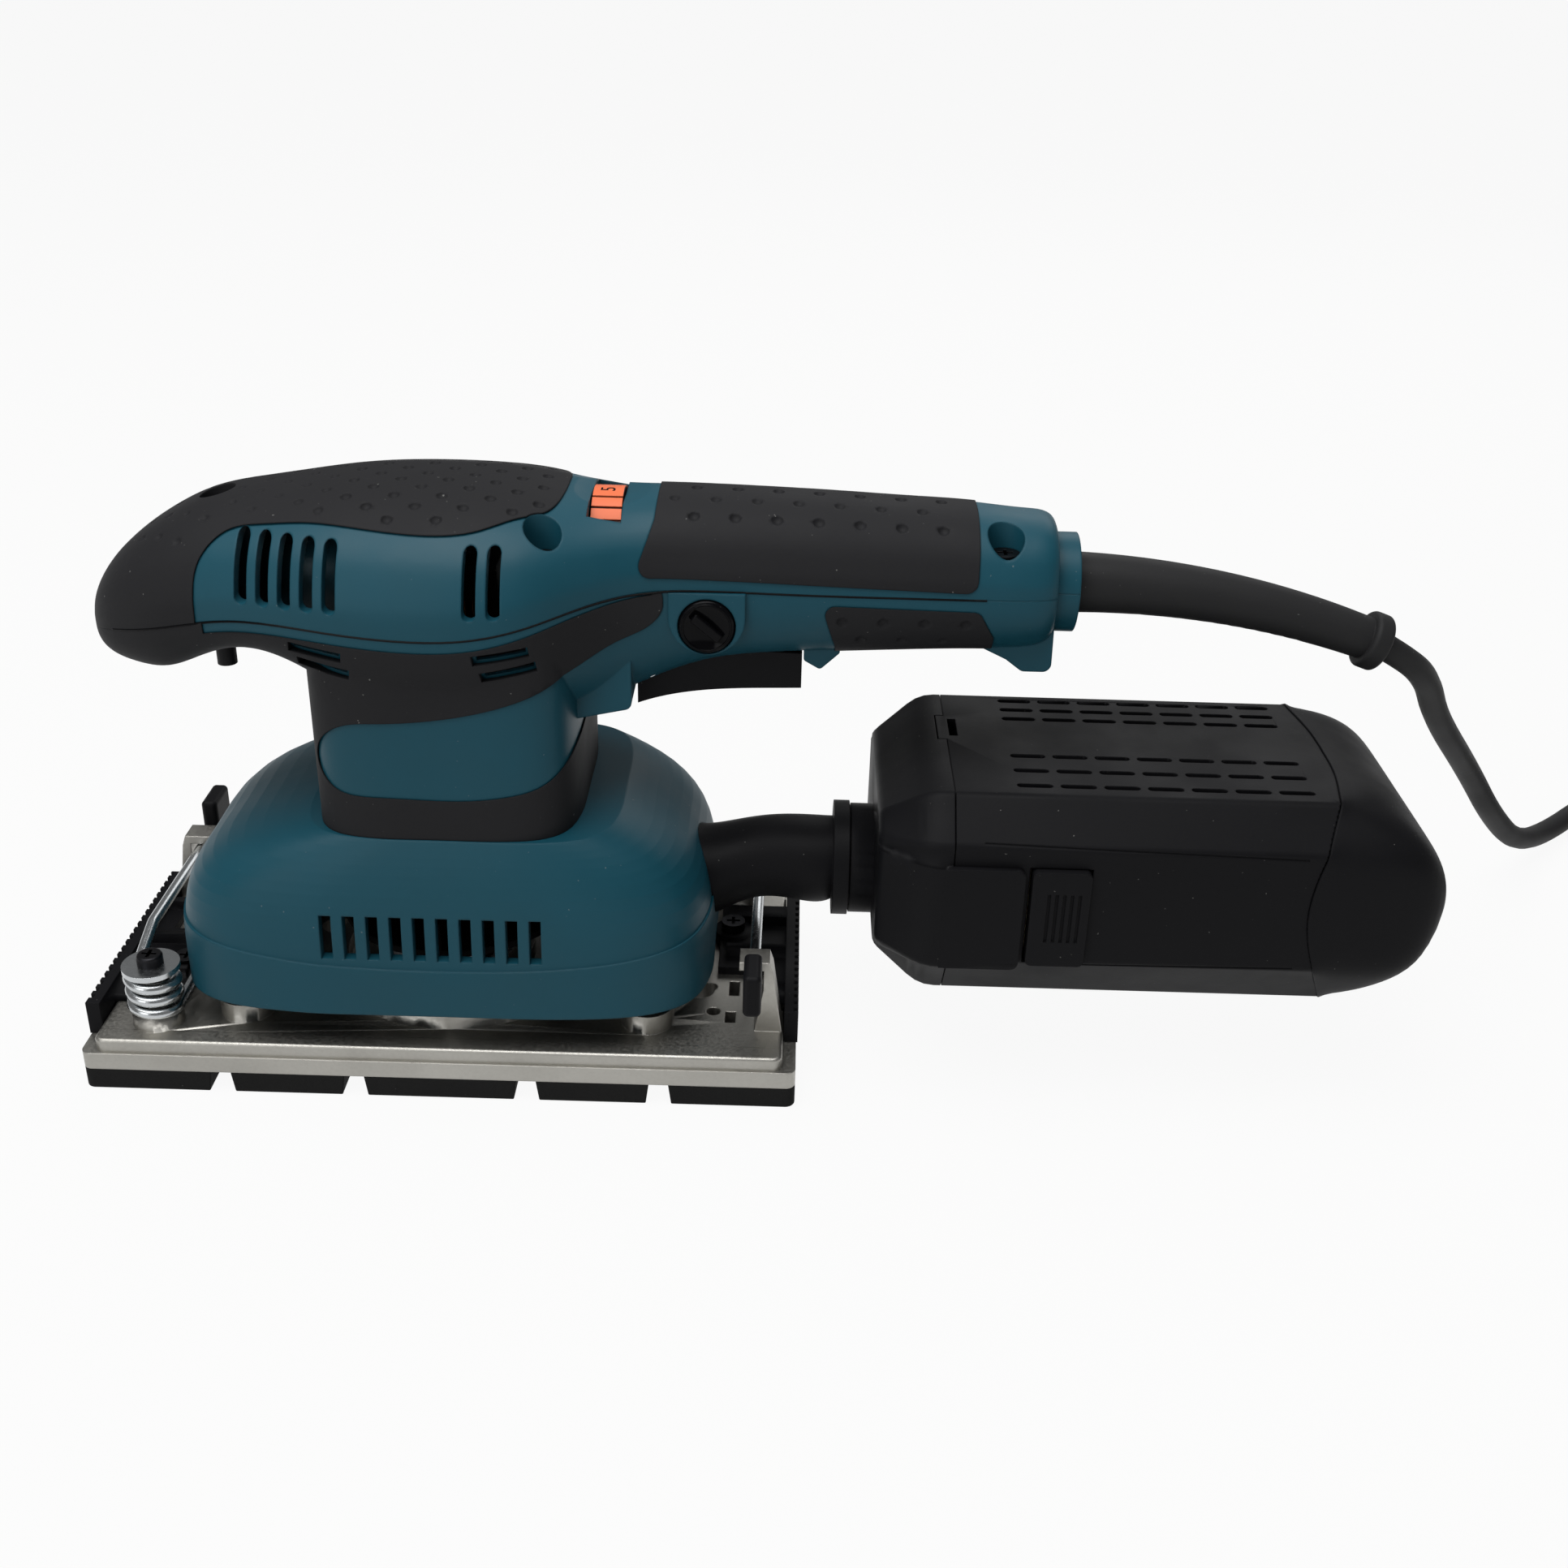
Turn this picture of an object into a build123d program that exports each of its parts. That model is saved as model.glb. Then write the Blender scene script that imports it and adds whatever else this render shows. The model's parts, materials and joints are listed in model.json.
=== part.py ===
from build123d import *
import math
import os

# Orbital sander with a rectangular pad, side spring levers, dust box and mains lead.
# Millimetres. Z is up, X runs from the front nose to the cord, the origin is the centre of the pad's sole.

os.makedirs("parts", exist_ok=True)

# Fits
running_fit = 0.05
slide_fit = 0.2
free_gap = 0.4
body_gap = 0.3

# Sanding pad and base plate
pad_length = 185.0
pad_width = 92.0
pad_thickness = 6.0
pad_corner = 2.5
notch_width = 5.0
notch_depth = 18.0
notch_draft = 0.8
notch_places = (-56.6, -22.0, 22.6, 57.0)
dust_hole_radius = 4.0
dust_hole_x = (-66.0, -40.0, 40.0, 66.0)
dust_hole_y = 14.0
plate_ledge = 4.8
plate_rise = 3.7
plate_inset = 3.5
plate_edge_round = 1.0

# Foot cups and rubber feet between plate and skirt
foot_x = 53.0
foot_y = 29.0
foot_radius = 5.0
foot_height = 15.5
cup_wall = 2.0
cup_height = 5.5

# Eccentric drive
orbit_radius = 1.0
boss_radius = 36.0
boss_height = 5.0
boss_pocket_inner = 19.0
boss_pocket_outer = 32.0
plate_rib_width = 2.0
pad_bearing_radius = 14.0
pad_bearing_width = 8.0
bearing_shoulder = 4.0
pin_radius = 6.0
bolt_head_radius = 8.0
bolt_head_height = 3.2
bolt_radius = 3.0
bolt_grip = 8.0

# Skirt
skirt_lift = 9.5
skirt_height = 47.0
skirt_wall = 3.0
skirt_power = 4.5
skirt_half_length = 69.2
skirt_half_width = 43.6
skirt_rings = 16
shoulder_inset = 29.2
shoulder_draw = 7.2
shoulder_shift = 6.0
skirt_band_step = 0.5
skirt_band_mid = 13.4
skirt_band_end = 21.0
vent_count = 10
vent_pitch = 5.83
vent_width = 3.0
vent_low = 16.2
vent_high = 28.2
pillar_radius = 6.0

# Motor
shaft_radius = 4.0
weight_height = 8.0
weight_radius = 24.0
weight_lift = 1.5
fan_radius = 31.0
fan_height = 10.0
fan_disc = 2.0
fan_blades = 12
fan_blade_thickness = 1.6
hub_radius = 7.5
lower_bearing_radius = 13.0
lower_bearing_width = 8.0
bearing_wall = 4.0
core_radius = 25.0
core_height = 28.0
core_lift = 7.0
rotor_radius = 14.0
air_gap = 0.6
coil_inner = 16.5
coil_outer = 21.5
coil_overhang = 5.0
coil_span = 100.0
winding_radius = 12.5
winding_overhang = 5.5
commutator_radius = 10.5
commutator_height = 10.0
upper_bearing_radius = 11.0
upper_bearing_width = 7.0
bracket_plate = 3.0
bracket_post = 4.0
bracket_half_width = 9.0
brush_width = 6.0
brush_height = 5.0
brush_length = 11.0
holder_wall = 1.4
holder_length = 15.0

# Neck and upper body, heights above the top of the skirt
neck_x = 2.8
neck_half_length = 33.0
neck_half_width = 35.5
neck_power = 4.8
shell_wall = 3.0
grip_proud = 0.4
grip_depth = 1.5
body_power_top = 2.3
body_power_bottom = 2.4
nose_x = -86.0
handle_rear = 152.4
rear_block_x = 49.0
rear_block_half = 19.0
rear_block_low = 26.0
collar_radius = 12.4
collar_length = 6.0
collar_height = 59.4
hook_low = 38.9
hook_half = 10.0
lug_low = 37.4
lug_half = 9.0

# Screws that join the two halves of the body
screw_radius = 2.0
screw_head_radius = 3.6
screw_head_height = 2.6
screw_recess_radius = 4.5
screw_boss_wall = 2.0
screw_length = 16.0
front_screw_x = -54.0
middle_screw_x = 29.0
middle_screw_y = 22.3
rear_screw_x = 139.2
rear_screw_y = 11.5

# Lip of the lower housing under the seam, above the sleeve
lip_height = 2.8
lip_vanish = 61.0
lip_taper = 42.0
lip_end = 54.5

# Windows of the sleeve
sleeve_window = (13.0, 2.6)
window_lip = 0.8
window_reach = 20.0
peg_low = 30.8

# Air vents of the upper shell
slot_width = 3.2
front_slot_first = -41.4
front_slot_pitch = 5.5
front_slot_count = 5
rear_slots = (13.4, 18.9)
slot_low = 59.0
slot_high = 74.6

# Speed dial
dial_x = 42.6
dial_width = 7.4
dial_radius = 14.0
dial_height = 66.4
dial_ribs = 24
dial_rib_group = 4
dial_start = 5.0
dial_rib_depth = 0.5
dial_axle_radius = 2.0

# Switch, trigger and lock button
trigger_front = 49.6
trigger_rear = 91.0
trigger_half = 8.5
trigger_pivot_x = 53.0
trigger_pivot_z = 36.5
trigger_pin_radius = 1.6
button_x = 67.6
button_z = 52.6
button_radius = 6.8
button_length = 8.0
button_face_y = -21.2
boss_face_y = -20.5
boss_half = 9.3

# Dust elbow and box, heights above the lower edge of the skirt
elbow_axis = 25.6
elbow_mouth_drop = 4.6
spout_radius = 11.2
spout_bore = 9.0
spout_end = 119.5
elbow_ring_radius = 15.5
elbow_ring_front = 101.0
elbow_ring_width = 4.2
box_half_width = 40.0
box_flat_half = 30.0
box_top = 35.9
box_shoulder = 26.1
box_haunch = -6.6
box_bottom = -21.3
box_wall = 2.2
box_face = 111.5
box_chamfer_end = 124.0
box_seam = 130.0
box_end = 256.5
box_rim = 4.0
box_rim_root = 4.0
box_nose_start = 222.0
box_nose_under = 229.0
box_nose_tip = 7.4
cover_inset = 9.0
cover_face_ease = 1.8
cover_ease = 4.0
cover_ease_steps = 3
tongue_reach = 2.4
tongue_span = (1.0, 15.4)
cover_collar_radius = 14.8
cover_collar_front = 105.6
arm_thickness = 2.2
arm_rear = 147.4
arm_low = -7.6
arm_high = 20.8
latch_length = 15.5
latch_gap = 1.2
latch_barrel = 1.1
latch_relief = 1.4
slot_row_length = 9.0
slot_row_width = 2.1
slot_rows = (-25.0, -16.6, -8.2, 14.6, 20.4, 26.2)
slot_row_first = 145.5
slot_row_pitch = 10.9
slot_row_count = 7
filter_wall = 1.2
filter_room = 4.0
filter_frame = 2.0

# Spring levers
wire_radius = 1.5
coil_mean_radius = 5.8
coil_pitch = 3.75
coil_turns = 2.5
post_x = 74.8
post_y = 35.2
post_seat = 3.0
post_seat_radius = 6.4
post_clearance = 0.3
lever_reach = 80.9
lever_height = 17.0
lever_tail = 13.0
knob_thickness = 4.6
knob_inner = 36.1
knob_length = 12.5
knob_low = 14.8
knob_high = 26.8
washer_thickness = 1.5
post_screw_head = 3.0
post_screw_radius = 3.3
hook_width = 7.0
hook_y = 29.2
hook_bar = 2.4
post_radius = coil_mean_radius - wire_radius - post_clearance

# Paper clamps
clamp_wall = 3.4
clamp_height = 9.4
clamp_floor = 2.4
clamp_half = 34.5
clamp_shift = 2.5
clamp_floor_half = 25.0
clamp_ribs = (-17.0, 1.0, 18.0)
clamp_inner = 70.6
clamp_tooth = 1.6
clamp_screw_x = 74.0
clamp_screw_y = 13.0

# Mains lead
cord_radius = 3.5
guard_root_radius = 7.6
guard_tip_radius = 5.4
guard_ring_radius = 7.4
guard_ring_width = 5.0
guard_length = 77.2
guard_drop = 13.5
guard_bore = 6.0
lead_run = 14.0
coil_step = 7.7
coil_inner_radius = 32.0
coil_layer_turns = 3
coil_centre_x = 412.0
coil_centre_y = 80.0
coil_tail = 42.0
tie_width = 10.0
tie_wall = 1.4
tie_slack = 0.6
plug_length = 36.0
plug_neck_length = 12.0
plug_neck_radius = 6.0
pin_length = 19.0
plug_pin_radius = 2.4
plug_pin_spacing = 19.0

# Heights worked out from the sizes above
plate_step = pad_thickness + plate_ledge
plate_top = plate_step + plate_rise
skirt_bottom = plate_top + skirt_lift
skirt_top = skirt_bottom + skirt_height
foot_top = plate_top + foot_height
bearing_seat = pad_thickness + bearing_shoulder
pin_top = bearing_seat + pad_bearing_width + boss_height
weight_low = pin_top + weight_lift
fan_low = weight_low + weight_height + 1.0
lower_bearing_low = fan_low + fan_height + bearing_wall
core_low = skirt_top + core_lift
core_high = core_low + core_height
commutator_low = core_high + winding_overhang + 2.5
bracket_low = core_high + coil_overhang + free_gap
upper_bearing_low = commutator_low + commutator_height + 4.0
shaft_top = upper_bearing_low + upper_bearing_width
motor_x = -orbit_radius


def rod(radius, start, end):
    start = Vector(start)
    span = Vector(end) - start
    return Part() + Solid.make_cylinder(radius, span.length, Plane(origin=start, z_dir=span.normalized()))


def tube(outer, inner, start, end):
    return rod(outer, start, end) - rod(inner, start, end)


def block(x_span, y_span, z_span):
    size = [high - low for low, high in (x_span, y_span, z_span)]
    middle = [(high + low) / 2 for low, high in (x_span, y_span, z_span)]
    return Part() + Pos(*middle) * Box(*size)


def slab(length, width, corner, low, high):
    return Part() + extrude(Plane.XY.offset(low) * RectangleRounded(length, width, corner), high - low)


def side_face(*runs):
    edges = []
    for run in runs:
        edges.extend(run.edges())
    return Face(Wire(edges))


def side_prism(face, y_low, y_high):
    return Part() + Solid.extrude(face.translate((0, y_low, 0)), Vector(0, y_high - y_low, 0))


def in_side(points):
    return [(x, 0, z) for x, z in points]


def half_turn(shape):
    return Rot(0, 0, 180) * shape


def oval(centre, across, up, reach, rise, drop, power_up, power_down):
    # Closed outline of four quarters, each a rounded corner between an ellipse and a box
    centre, across, up = Vector(centre), Vector(across), Vector(up)
    quarters = ((1, rise, power_up), (-1, rise, power_up), (-1, -drop, power_down), (1, -drop, power_down))
    starts = (up, across * -1, up * -1, across)
    edges = []
    for turn, (side, height, power) in enumerate(quarters):
        spots = []
        for step in range(7):
            angle = math.radians(15 * step if turn in (0, 2) else 90 - 15 * step)
            along = side * reach * round(math.cos(angle), 12) ** (2 / power)
            over = height * round(math.sin(angle), 12) ** (2 / power)
            spots.append(centre + across * along + up * over)
        edges.append(Spline(*spots, tangents=(starts[turn], starts[(turn + 1) % 4])).edge())
    return Wire(edges)


def biarc_path(spots, headings):
    # Two tangent arcs from each spot to the next, so that the line has no kink
    edges = []
    for start, end, first, last in zip(spots, spots[1:], headings, headings[1:]):
        span = end - start
        both = first + last
        spread = 2 * (1 - first.dot(last))
        reach = span.dot(both)
        if spread < 1e-9:
            length = span.dot(span) / (2 * reach)
        else:
            length = (math.sqrt(reach * reach + spread * span.dot(span)) - reach) / spread
        inner, outer = start + first * length, end - last * length
        middle = (inner + outer) * 0.5
        edges.append(TangentArc(start, middle, tangent=first).edge())
        edges.append(TangentArc(middle, end, tangent=outer - inner).edge())
    return edges


def swept_tube(path, radius):
    start = path.position_at(0)
    profile = Plane(origin=start, z_dir=path.tangent_at(0)) * Circle(radius)
    return Part() + sweep(profile, path=path)


def least_gap(path, radius, skip, count):
    # Smallest gap between two stretches of one tube that are more than skip apart along it
    spots = [path.position_at(k / count) for k in range(count + 1)]
    apart = max(1, int(skip * count / path.length))
    least = min(
        (spots[a] - spots[b]).length for a in range(count + 1) for b in range(a + apart, count + 1)
    )
    return least - 2 * radius


def print_tube(name, solid, path, radius):
    expected = math.pi * radius**2 * path.length
    print(f"{name}: length {path.length:.0f} mm, volume {solid.volume:.0f}, section times length {expected:.0f}")


def save(name, shape):
    export_step(shape, f"parts/{name}.step")
    solids = shape.solids()
    print(f"{name}: {len(solids)} solid(s), {sum(s.volume for s in solids):.0f} mm3")


# Base plate, pad and feet
def foot_places():
    return [(x, y) for x in (-foot_x, foot_x) for y in (-foot_y, foot_y)]


def dust_holes(low, high):
    holes = Part()
    for x in dust_hole_x:
        for y in (-dust_hole_y, dust_hole_y):
            holes += rod(dust_hole_radius, (x, y, low), (x, y, high))
    return holes


def make_pad():
    pad = slab(pad_length, pad_width, pad_corner, 0, pad_thickness)
    for x in notch_places:
        half = notch_width / 2
        outline = Polyline(
            *in_side(
                (
                    (x - half - notch_draft, 0),
                    (x + half + notch_draft, 0),
                    (x + half, pad_thickness),
                    (x - half, pad_thickness),
                )
            ),
            close=True,
        )
        notch = side_face(outline)
        edge = pad_width / 2
        pad -= side_prism(notch, -edge, notch_depth - edge)
        pad -= side_prism(notch, edge - notch_depth, edge)
    return pad - dust_holes(0, pad_thickness)


def hook_bracket():
    # Cast hook that holds the free end of a spring lever down
    inner = lever_reach - wire_radius - 2.2
    outer = lever_reach + wire_radius + 2.6
    wire_top = plate_top + lever_height + wire_radius + body_gap
    top = wire_top + hook_bar
    foot = (pad_length / 2 - plate_inset) - 0.4
    outline = Polyline(
        *in_side(
            (
                (inner, wire_top),
                (inner, top),
                (outer, top),
                (outer + 1.0, top - 3.0),
                (foot, plate_top),
                (outer - 3.6, plate_top),
                (outer - 1.4, wire_top - 6.0),
                (outer - 1.4, wire_top),
            )
        ),
        close=True,
    )
    low = -hook_y - hook_width / 2
    return side_prism(side_face(outline), low, low + hook_width)


def coil_post():
    seat = plate_top + post_seat
    post = rod(post_seat_radius, (post_x, post_y, plate_top - 1), (post_x, post_y, seat))
    post += rod(post_radius, (post_x, post_y, seat), (post_x, post_y, washer_low))
    return post - rod(screw_radius, (post_x, post_y, seat), (post_x, post_y, washer_low))


def make_plate():
    plate = slab(pad_length, pad_width, pad_corner, pad_thickness, plate_step)
    inset = 2 * plate_inset
    plate += slab(pad_length - inset, pad_width - inset, pad_corner, plate_step, plate_top)
    plate = fillet(plate.faces().sort_by(Axis.Z)[-1].edges(), plate_edge_round)
    boss_top = plate_top + boss_height
    boss = rod(boss_radius, (0, 0, plate_top), (0, 0, boss_top))
    boss -= tube(boss_pocket_outer, boss_pocket_inner, (0, 0, plate_top + 1), (0, 0, boss_top))
    plate += boss
    for x, y in foot_places():
        plate += rod(foot_radius + cup_wall, (x, y, plate_top), (x, y, plate_top + cup_height))
        plate -= rod(foot_radius, (x, y, plate_top), (x, y, plate_top + cup_height))
        reach = math.hypot(x, y)
        turn = math.degrees(math.atan2(y, x))
        rib = block(
            (boss_radius - 1, reach - foot_radius - cup_wall / 2),
            (-plate_rib_width / 2, plate_rib_width / 2),
            (plate_top, plate_top + cup_height / 2),
        )
        plate += Rot(0, 0, turn) * rib
    bracket = hook_bracket()
    post = coil_post()
    plate += [bracket, half_turn(bracket), post, half_turn(post)]
    plate -= rod(pad_bearing_radius, (0, 0, bearing_seat), (0, 0, boss_top))
    plate -= rod(pad_bearing_radius - 3.0, (0, 0, pad_thickness), (0, 0, bearing_seat))
    slot = block((post_x - 1.4, post_x + 1.4), (-hook_y, 5.2 - hook_y), (pad_thickness, plate_top))
    plate -= [slot, half_turn(slot)]
    clamp_hole = rod(
        screw_radius, (clamp_screw_x, clamp_screw_y, plate_step), (clamp_screw_x, clamp_screw_y, plate_top)
    )
    plate -= [clamp_hole, half_turn(clamp_hole)]
    return plate - dust_holes(pad_thickness, plate_top)


def make_feet():
    return Compound([rod(foot_radius, (x, y, plate_top), (x, y, foot_top)).solid() for x, y in foot_places()])


# Paper clamps at both ends of the plate
def make_rear_clamp():
    end = pad_length / 2
    wall_in = end - plate_inset + slide_fit
    low, high = clamp_shift - clamp_half, clamp_shift + clamp_half
    top = plate_step + clamp_height
    floor_low, floor_high = clamp_shift - clamp_floor_half, clamp_shift + clamp_floor_half
    clamp = block((wall_in, end + 0.4), (low, high), (plate_step, top))
    clamp += block((clamp_inner, wall_in), (floor_low, floor_high), (plate_top, plate_top + clamp_floor))
    for y in clamp_ribs:
        clamp += block((clamp_inner + 2, wall_in), (y - 1.3, y + 1.3), (plate_top, top - 0.5))
    place = (clamp_screw_x, clamp_screw_y)
    clamp += rod(post_screw_radius + 2, (*place, plate_top), (*place, plate_top + clamp_floor + 1))
    for k in range(int(clamp_half / clamp_tooth)):
        y = low + clamp_tooth * (2 * k + 0.5)
        clamp -= block((end - 0.8, end + 0.4), (y, y + clamp_tooth), (plate_step, top))
    return clamp - rod(screw_radius, (*place, plate_top), (*place, top + 4))


def clamp_screw():
    seat = plate_top + clamp_floor + 1
    place = (clamp_screw_x, clamp_screw_y)
    screw = rod(screw_radius, (*place, plate_step), (*place, seat))
    screw += rod(post_screw_radius, (*place, seat), (*place, seat + screw_head_height))
    return cross_head(screw, place, seat)


def cross_head(screw, place, seat):
    # Phillips recess in a screw head of the usual height
    x, y = place
    top = seat + screw_head_height
    for wide, deep in ((1.9, 0.45), (0.45, 1.9)):
        screw -= block((x - wide, x + wide), (y - deep, y + deep), (top - 1.4, top))
    return screw


# Spring levers
coil_low = plate_top + post_seat + wire_radius + body_gap
coil_high = coil_low + coil_pitch * coil_turns
washer_low = coil_high + wire_radius + body_gap


def lever_path():
    # Tail, coil and arm of the front lever, in one line
    quarter_count = round(coil_turns * 4)
    centre = Vector(-post_x, -post_y, 0)
    spots, headings = [], []
    for k in range(quarter_count + 1):
        angle = -math.pi / 2 * k
        out = Vector(math.cos(angle), math.sin(angle), 0)
        rise = Vector(0, 0, coil_low + coil_pitch * k / 4)
        spots.append(centre + out * coil_mean_radius + rise)
        flat = k in (0, quarter_count)
        climb = 0 if flat else coil_pitch / (2 * math.pi * coil_mean_radius)
        headings.append(Vector(math.sin(angle), -math.cos(angle), climb).normalized())
    tail = Line(spots[0] - headings[0] * lever_tail, spots[0]).edge()
    arm_level = plate_top + lever_height
    leave = spots[-1]
    arm = FilletPolyline(
        leave,
        leave + headings[-1] * 9.0,
        (-lever_reach - 0.3, leave.Y + 21.0, arm_level),
        (-lever_reach, knob_inner + knob_length - 2.0, arm_level),
        radius=9.0,
    )
    return Wire([tail, *biarc_path(spots, headings), *arm.edges()])


def make_lever():
    path = lever_path()
    wire = swept_tube(path, wire_radius)
    print_tube("lever wire", wire, path, wire_radius)
    print(f"lever coil: least gap {least_gap(path, wire_radius, 4 * coil_mean_radius, 900):.2f} mm")
    return wire


def make_knob(wire):
    knob = block(
        (-lever_reach - knob_thickness / 2, -lever_reach + knob_thickness / 2),
        (knob_inner, knob_inner + knob_length),
        (plate_top + knob_low, plate_top + knob_high),
    )
    knob = fillet(knob.edges(), knob_thickness * 0.3)
    return knob - wire


def post_screw():
    seat = washer_low + washer_thickness
    place = (-post_x, -post_y)
    screw = rod(screw_radius, (*place, plate_top + post_seat), (*place, seat))
    head = rod(post_screw_radius, (*place, seat), (*place, seat + post_screw_head))
    head = fillet(head.faces().sort_by(Axis.Z)[-1].edges(), 0.8)
    return cross_head(screw + head, place, seat + post_screw_head - screw_head_height)


def post_washer():
    place = (-post_x, -post_y)
    high = washer_low + washer_thickness
    return tube(coil_mean_radius + wire_radius, screw_radius, (*place, washer_low), (*place, high))


# Skirt
def skirt_form(grow, height):
    # Rings from the lower edge to the neck, closer together where the shoulder turns in
    wires = []
    for k in range(skirt_rings + 1):
        share = 1 - (1 - k / skirt_rings) ** 1.5
        wires.append(
            plan_oval(
                shoulder_shift * share**6,
                skirt_bottom + height * share,
                skirt_half_length - shoulder_inset * share**4.9 + grow,
                skirt_half_width - shoulder_draw * share**3.5 + grow,
                skirt_power,
            )
        )
    return Part() + Solid.make_loft(wires, ruled=True)


def plan_oval(x, z, half_length, half_width, power):
    return oval((x, 0, z), (1, 0, 0), (0, 1, 0), half_length, half_width, half_width, power, power)


def elbow_line():
    # Centre line of the dust elbow, from inside the skirt to the ring
    axis = skirt_bottom + elbow_axis
    rear = skirt_half_length
    return (
        (rear - 7.0, axis - elbow_mouth_drop),
        (rear - 0.5, axis - elbow_mouth_drop),
        (rear + 9.0, axis - 1.2),
        (rear + 17.0, axis),
        (elbow_ring_front, axis),
    )


def elbow_skin(grow):
    wires = []
    for k, (x, z) in enumerate(elbow_line()):
        swell = 1.2 if k < 2 else 0
        wires.append(Wire.make_circle(spout_radius + swell + grow, Plane(origin=(x, 0, z), z_dir=(1, 0, 0))))
    return Part() + Solid.make_loft(wires)


def make_elbow():
    axis = skirt_bottom + elbow_axis
    ring_end = elbow_ring_front + elbow_ring_width
    elbow = elbow_skin(0)
    elbow += rod(elbow_ring_radius, (elbow_ring_front, 0, axis), (ring_end, 0, axis))
    elbow += rod(spout_radius, (elbow_ring_front, 0, axis), (spout_end, 0, axis))
    elbow -= elbow_skin(spout_bore - spout_radius)
    return elbow - rod(spout_bore, (elbow_ring_front, 0, axis), (spout_end, 0, axis))


def make_skirt():
    skirt = skirt_form(0, skirt_height)
    reach = skirt_half_length + 8
    edge = ThreePointArc(
        (-reach, 0, skirt_bottom + skirt_band_end),
        (0, 0, skirt_bottom + skirt_band_mid),
        (reach, 0, skirt_bottom + skirt_band_end),
    )
    rest = Polyline(
        *in_side(
            (
                (reach, skirt_bottom + skirt_band_end),
                (reach, skirt_bottom),
                (-reach, skirt_bottom),
                (-reach, skirt_bottom + skirt_band_end),
            )
        )
    )
    band = side_prism(side_face(edge, rest), -pad_width, pad_width)
    skirt += skirt_form(skirt_band_step, skirt_height) & band
    skirt -= skirt_form(-skirt_wall, skirt_height - skirt_wall)
    first = -vent_pitch * (vent_count - 1) / 2
    for k in range(vent_count):
        x = first + vent_pitch * k
        skirt -= block(
            (x - vent_width / 2, x + vent_width / 2),
            (-pad_width, pad_width),
            (skirt_bottom + vent_low, skirt_bottom + vent_high),
        )
    inside = skirt_form(-skirt_wall / 2, skirt_height)
    for x, y in foot_places():
        skirt += rod(pillar_radius, (x, y, foot_top + body_gap), (x, y, skirt_top)) & inside
    seat_radius = lower_bearing_radius + bearing_wall
    seat_low = lower_bearing_low - bearing_wall + 1
    skirt += rod(seat_radius, on_axis(seat_low), on_axis(skirt_top))
    web = block((seat_radius - 2, skirt_half_width - 6), (-1.5, 1.5), (lower_bearing_low, skirt_top - 1))
    for turn in (0, 90, 180, 270):
        skirt += (Pos(motor_x, 0, 0) * Rot(0, 0, turn) * web) & inside
    skirt -= rod(lower_bearing_radius, on_axis(seat_low), on_axis(lower_bearing_low + lower_bearing_width))
    skirt -= rod(shaft_radius + 3, on_axis(seat_low), on_axis(skirt_top))
    skirt -= elbow_skin(0)
    for x, y in skirt_screw_places():
        skirt -= rod(screw_radius, (x, y, skirt_bottom), (x, y, skirt_top))
    return skirt


def skirt_screw_places():
    x, y = neck_half_length - shell_wall - 6.0, neck_half_width - shell_wall - 6.0
    return [(neck_x + i * x, j * y) for i in (-1, 1) for j in (-1, 1)]


def make_skirt_screws():
    screws = []
    seat = skirt_top - skirt_wall
    for x, y in skirt_screw_places():
        screw = rod(screw_radius, (x, y, seat), (x, y, skirt_top + core_lift - 1))
        screw += rod(screw_head_radius, (x, y, seat - screw_head_height), (x, y, seat))
        screws.append(screw.solid())
    return Compound(screws)


# Upper body: nose, hump and handle
def body_stations():
    # Place, then heights of crest, seam and belly above the skirt, then half width
    rear = handle_rear
    return (
        (nose_x, 48.0, 45.2, 42.6, 3.0),
        (nose_x + 0.8, 51.6, 45.5, 40.2, 8.0),
        (nose_x + 2.8, 55.6, 46.0, 38.0, 13.0),
        (nose_x + 6.0, 60.0, 46.6, 36.2, 17.0),
        (nose_x + 12.0, 65.6, 48.0, 34.6, 21.2),
        (-66.0, 71.0, 49.9, 34.5, 25.0),
        (-56.0, 75.8, 52.4, 38.8, 27.6),
        (-45.0, 78.3, 54.3, 42.0, 30.0),
        (-36.0, 79.7, 54.9, 40.5, 32.4),
        (-20.0, 82.0, 54.4, 31.0, 36.2),
        (0.0, 83.0, 53.6, 27.0, 38.2),
        (14.0, 82.7, 54.5, 26.0, 38.0),
        (26.0, 81.8, 56.4, 26.0, 35.0),
        (36.0, 80.5, 58.7, 26.5, 28.8),
        (46.0, 80.2, 60.6, 29.0, 23.0),
        (56.0, 80.5, 61.1, 33.5, 20.2),
        (68.0, 80.5, 61.0, 38.0, 19.4),
        (82.0, 80.2, 61.0, 40.2, 19.1),
        (100.0, 79.6, 60.8, 41.6, 19.0),
        (116.0, 78.9, 60.7, 42.6, 18.8),
        (rear - 19.6, 78.1, 60.5, 43.4, 18.6),
        (rear - 6.6, 77.0, 60.3, 44.0, 18.0),
        (rear - 1.6, 76.2, 60.2, 45.4, 16.8),
        (rear, 74.8, 60.2, 47.0, 15.4),
    )


def body_form(grow, first=0, last=0):
    # Skin of the upper body, moved out by grow, without the first and last few stations
    stations = body_stations()
    middle = (nose_x + handle_rear) / 2
    half = (handle_rear - nose_x) / 2
    wires = []
    for x, crest, seam, belly, half_width in stations[first : len(stations) - last]:
        wires.append(
            oval(
                (x + grow * (x - middle) / half, 0, skirt_top + seam),
                (0, 1, 0),
                (0, 0, 1),
                half_width + grow,
                crest - seam + grow,
                seam - belly + grow,
                body_power_top,
                body_power_bottom,
            )
        )
    return Part() + Solid.make_loft(wires)


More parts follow.
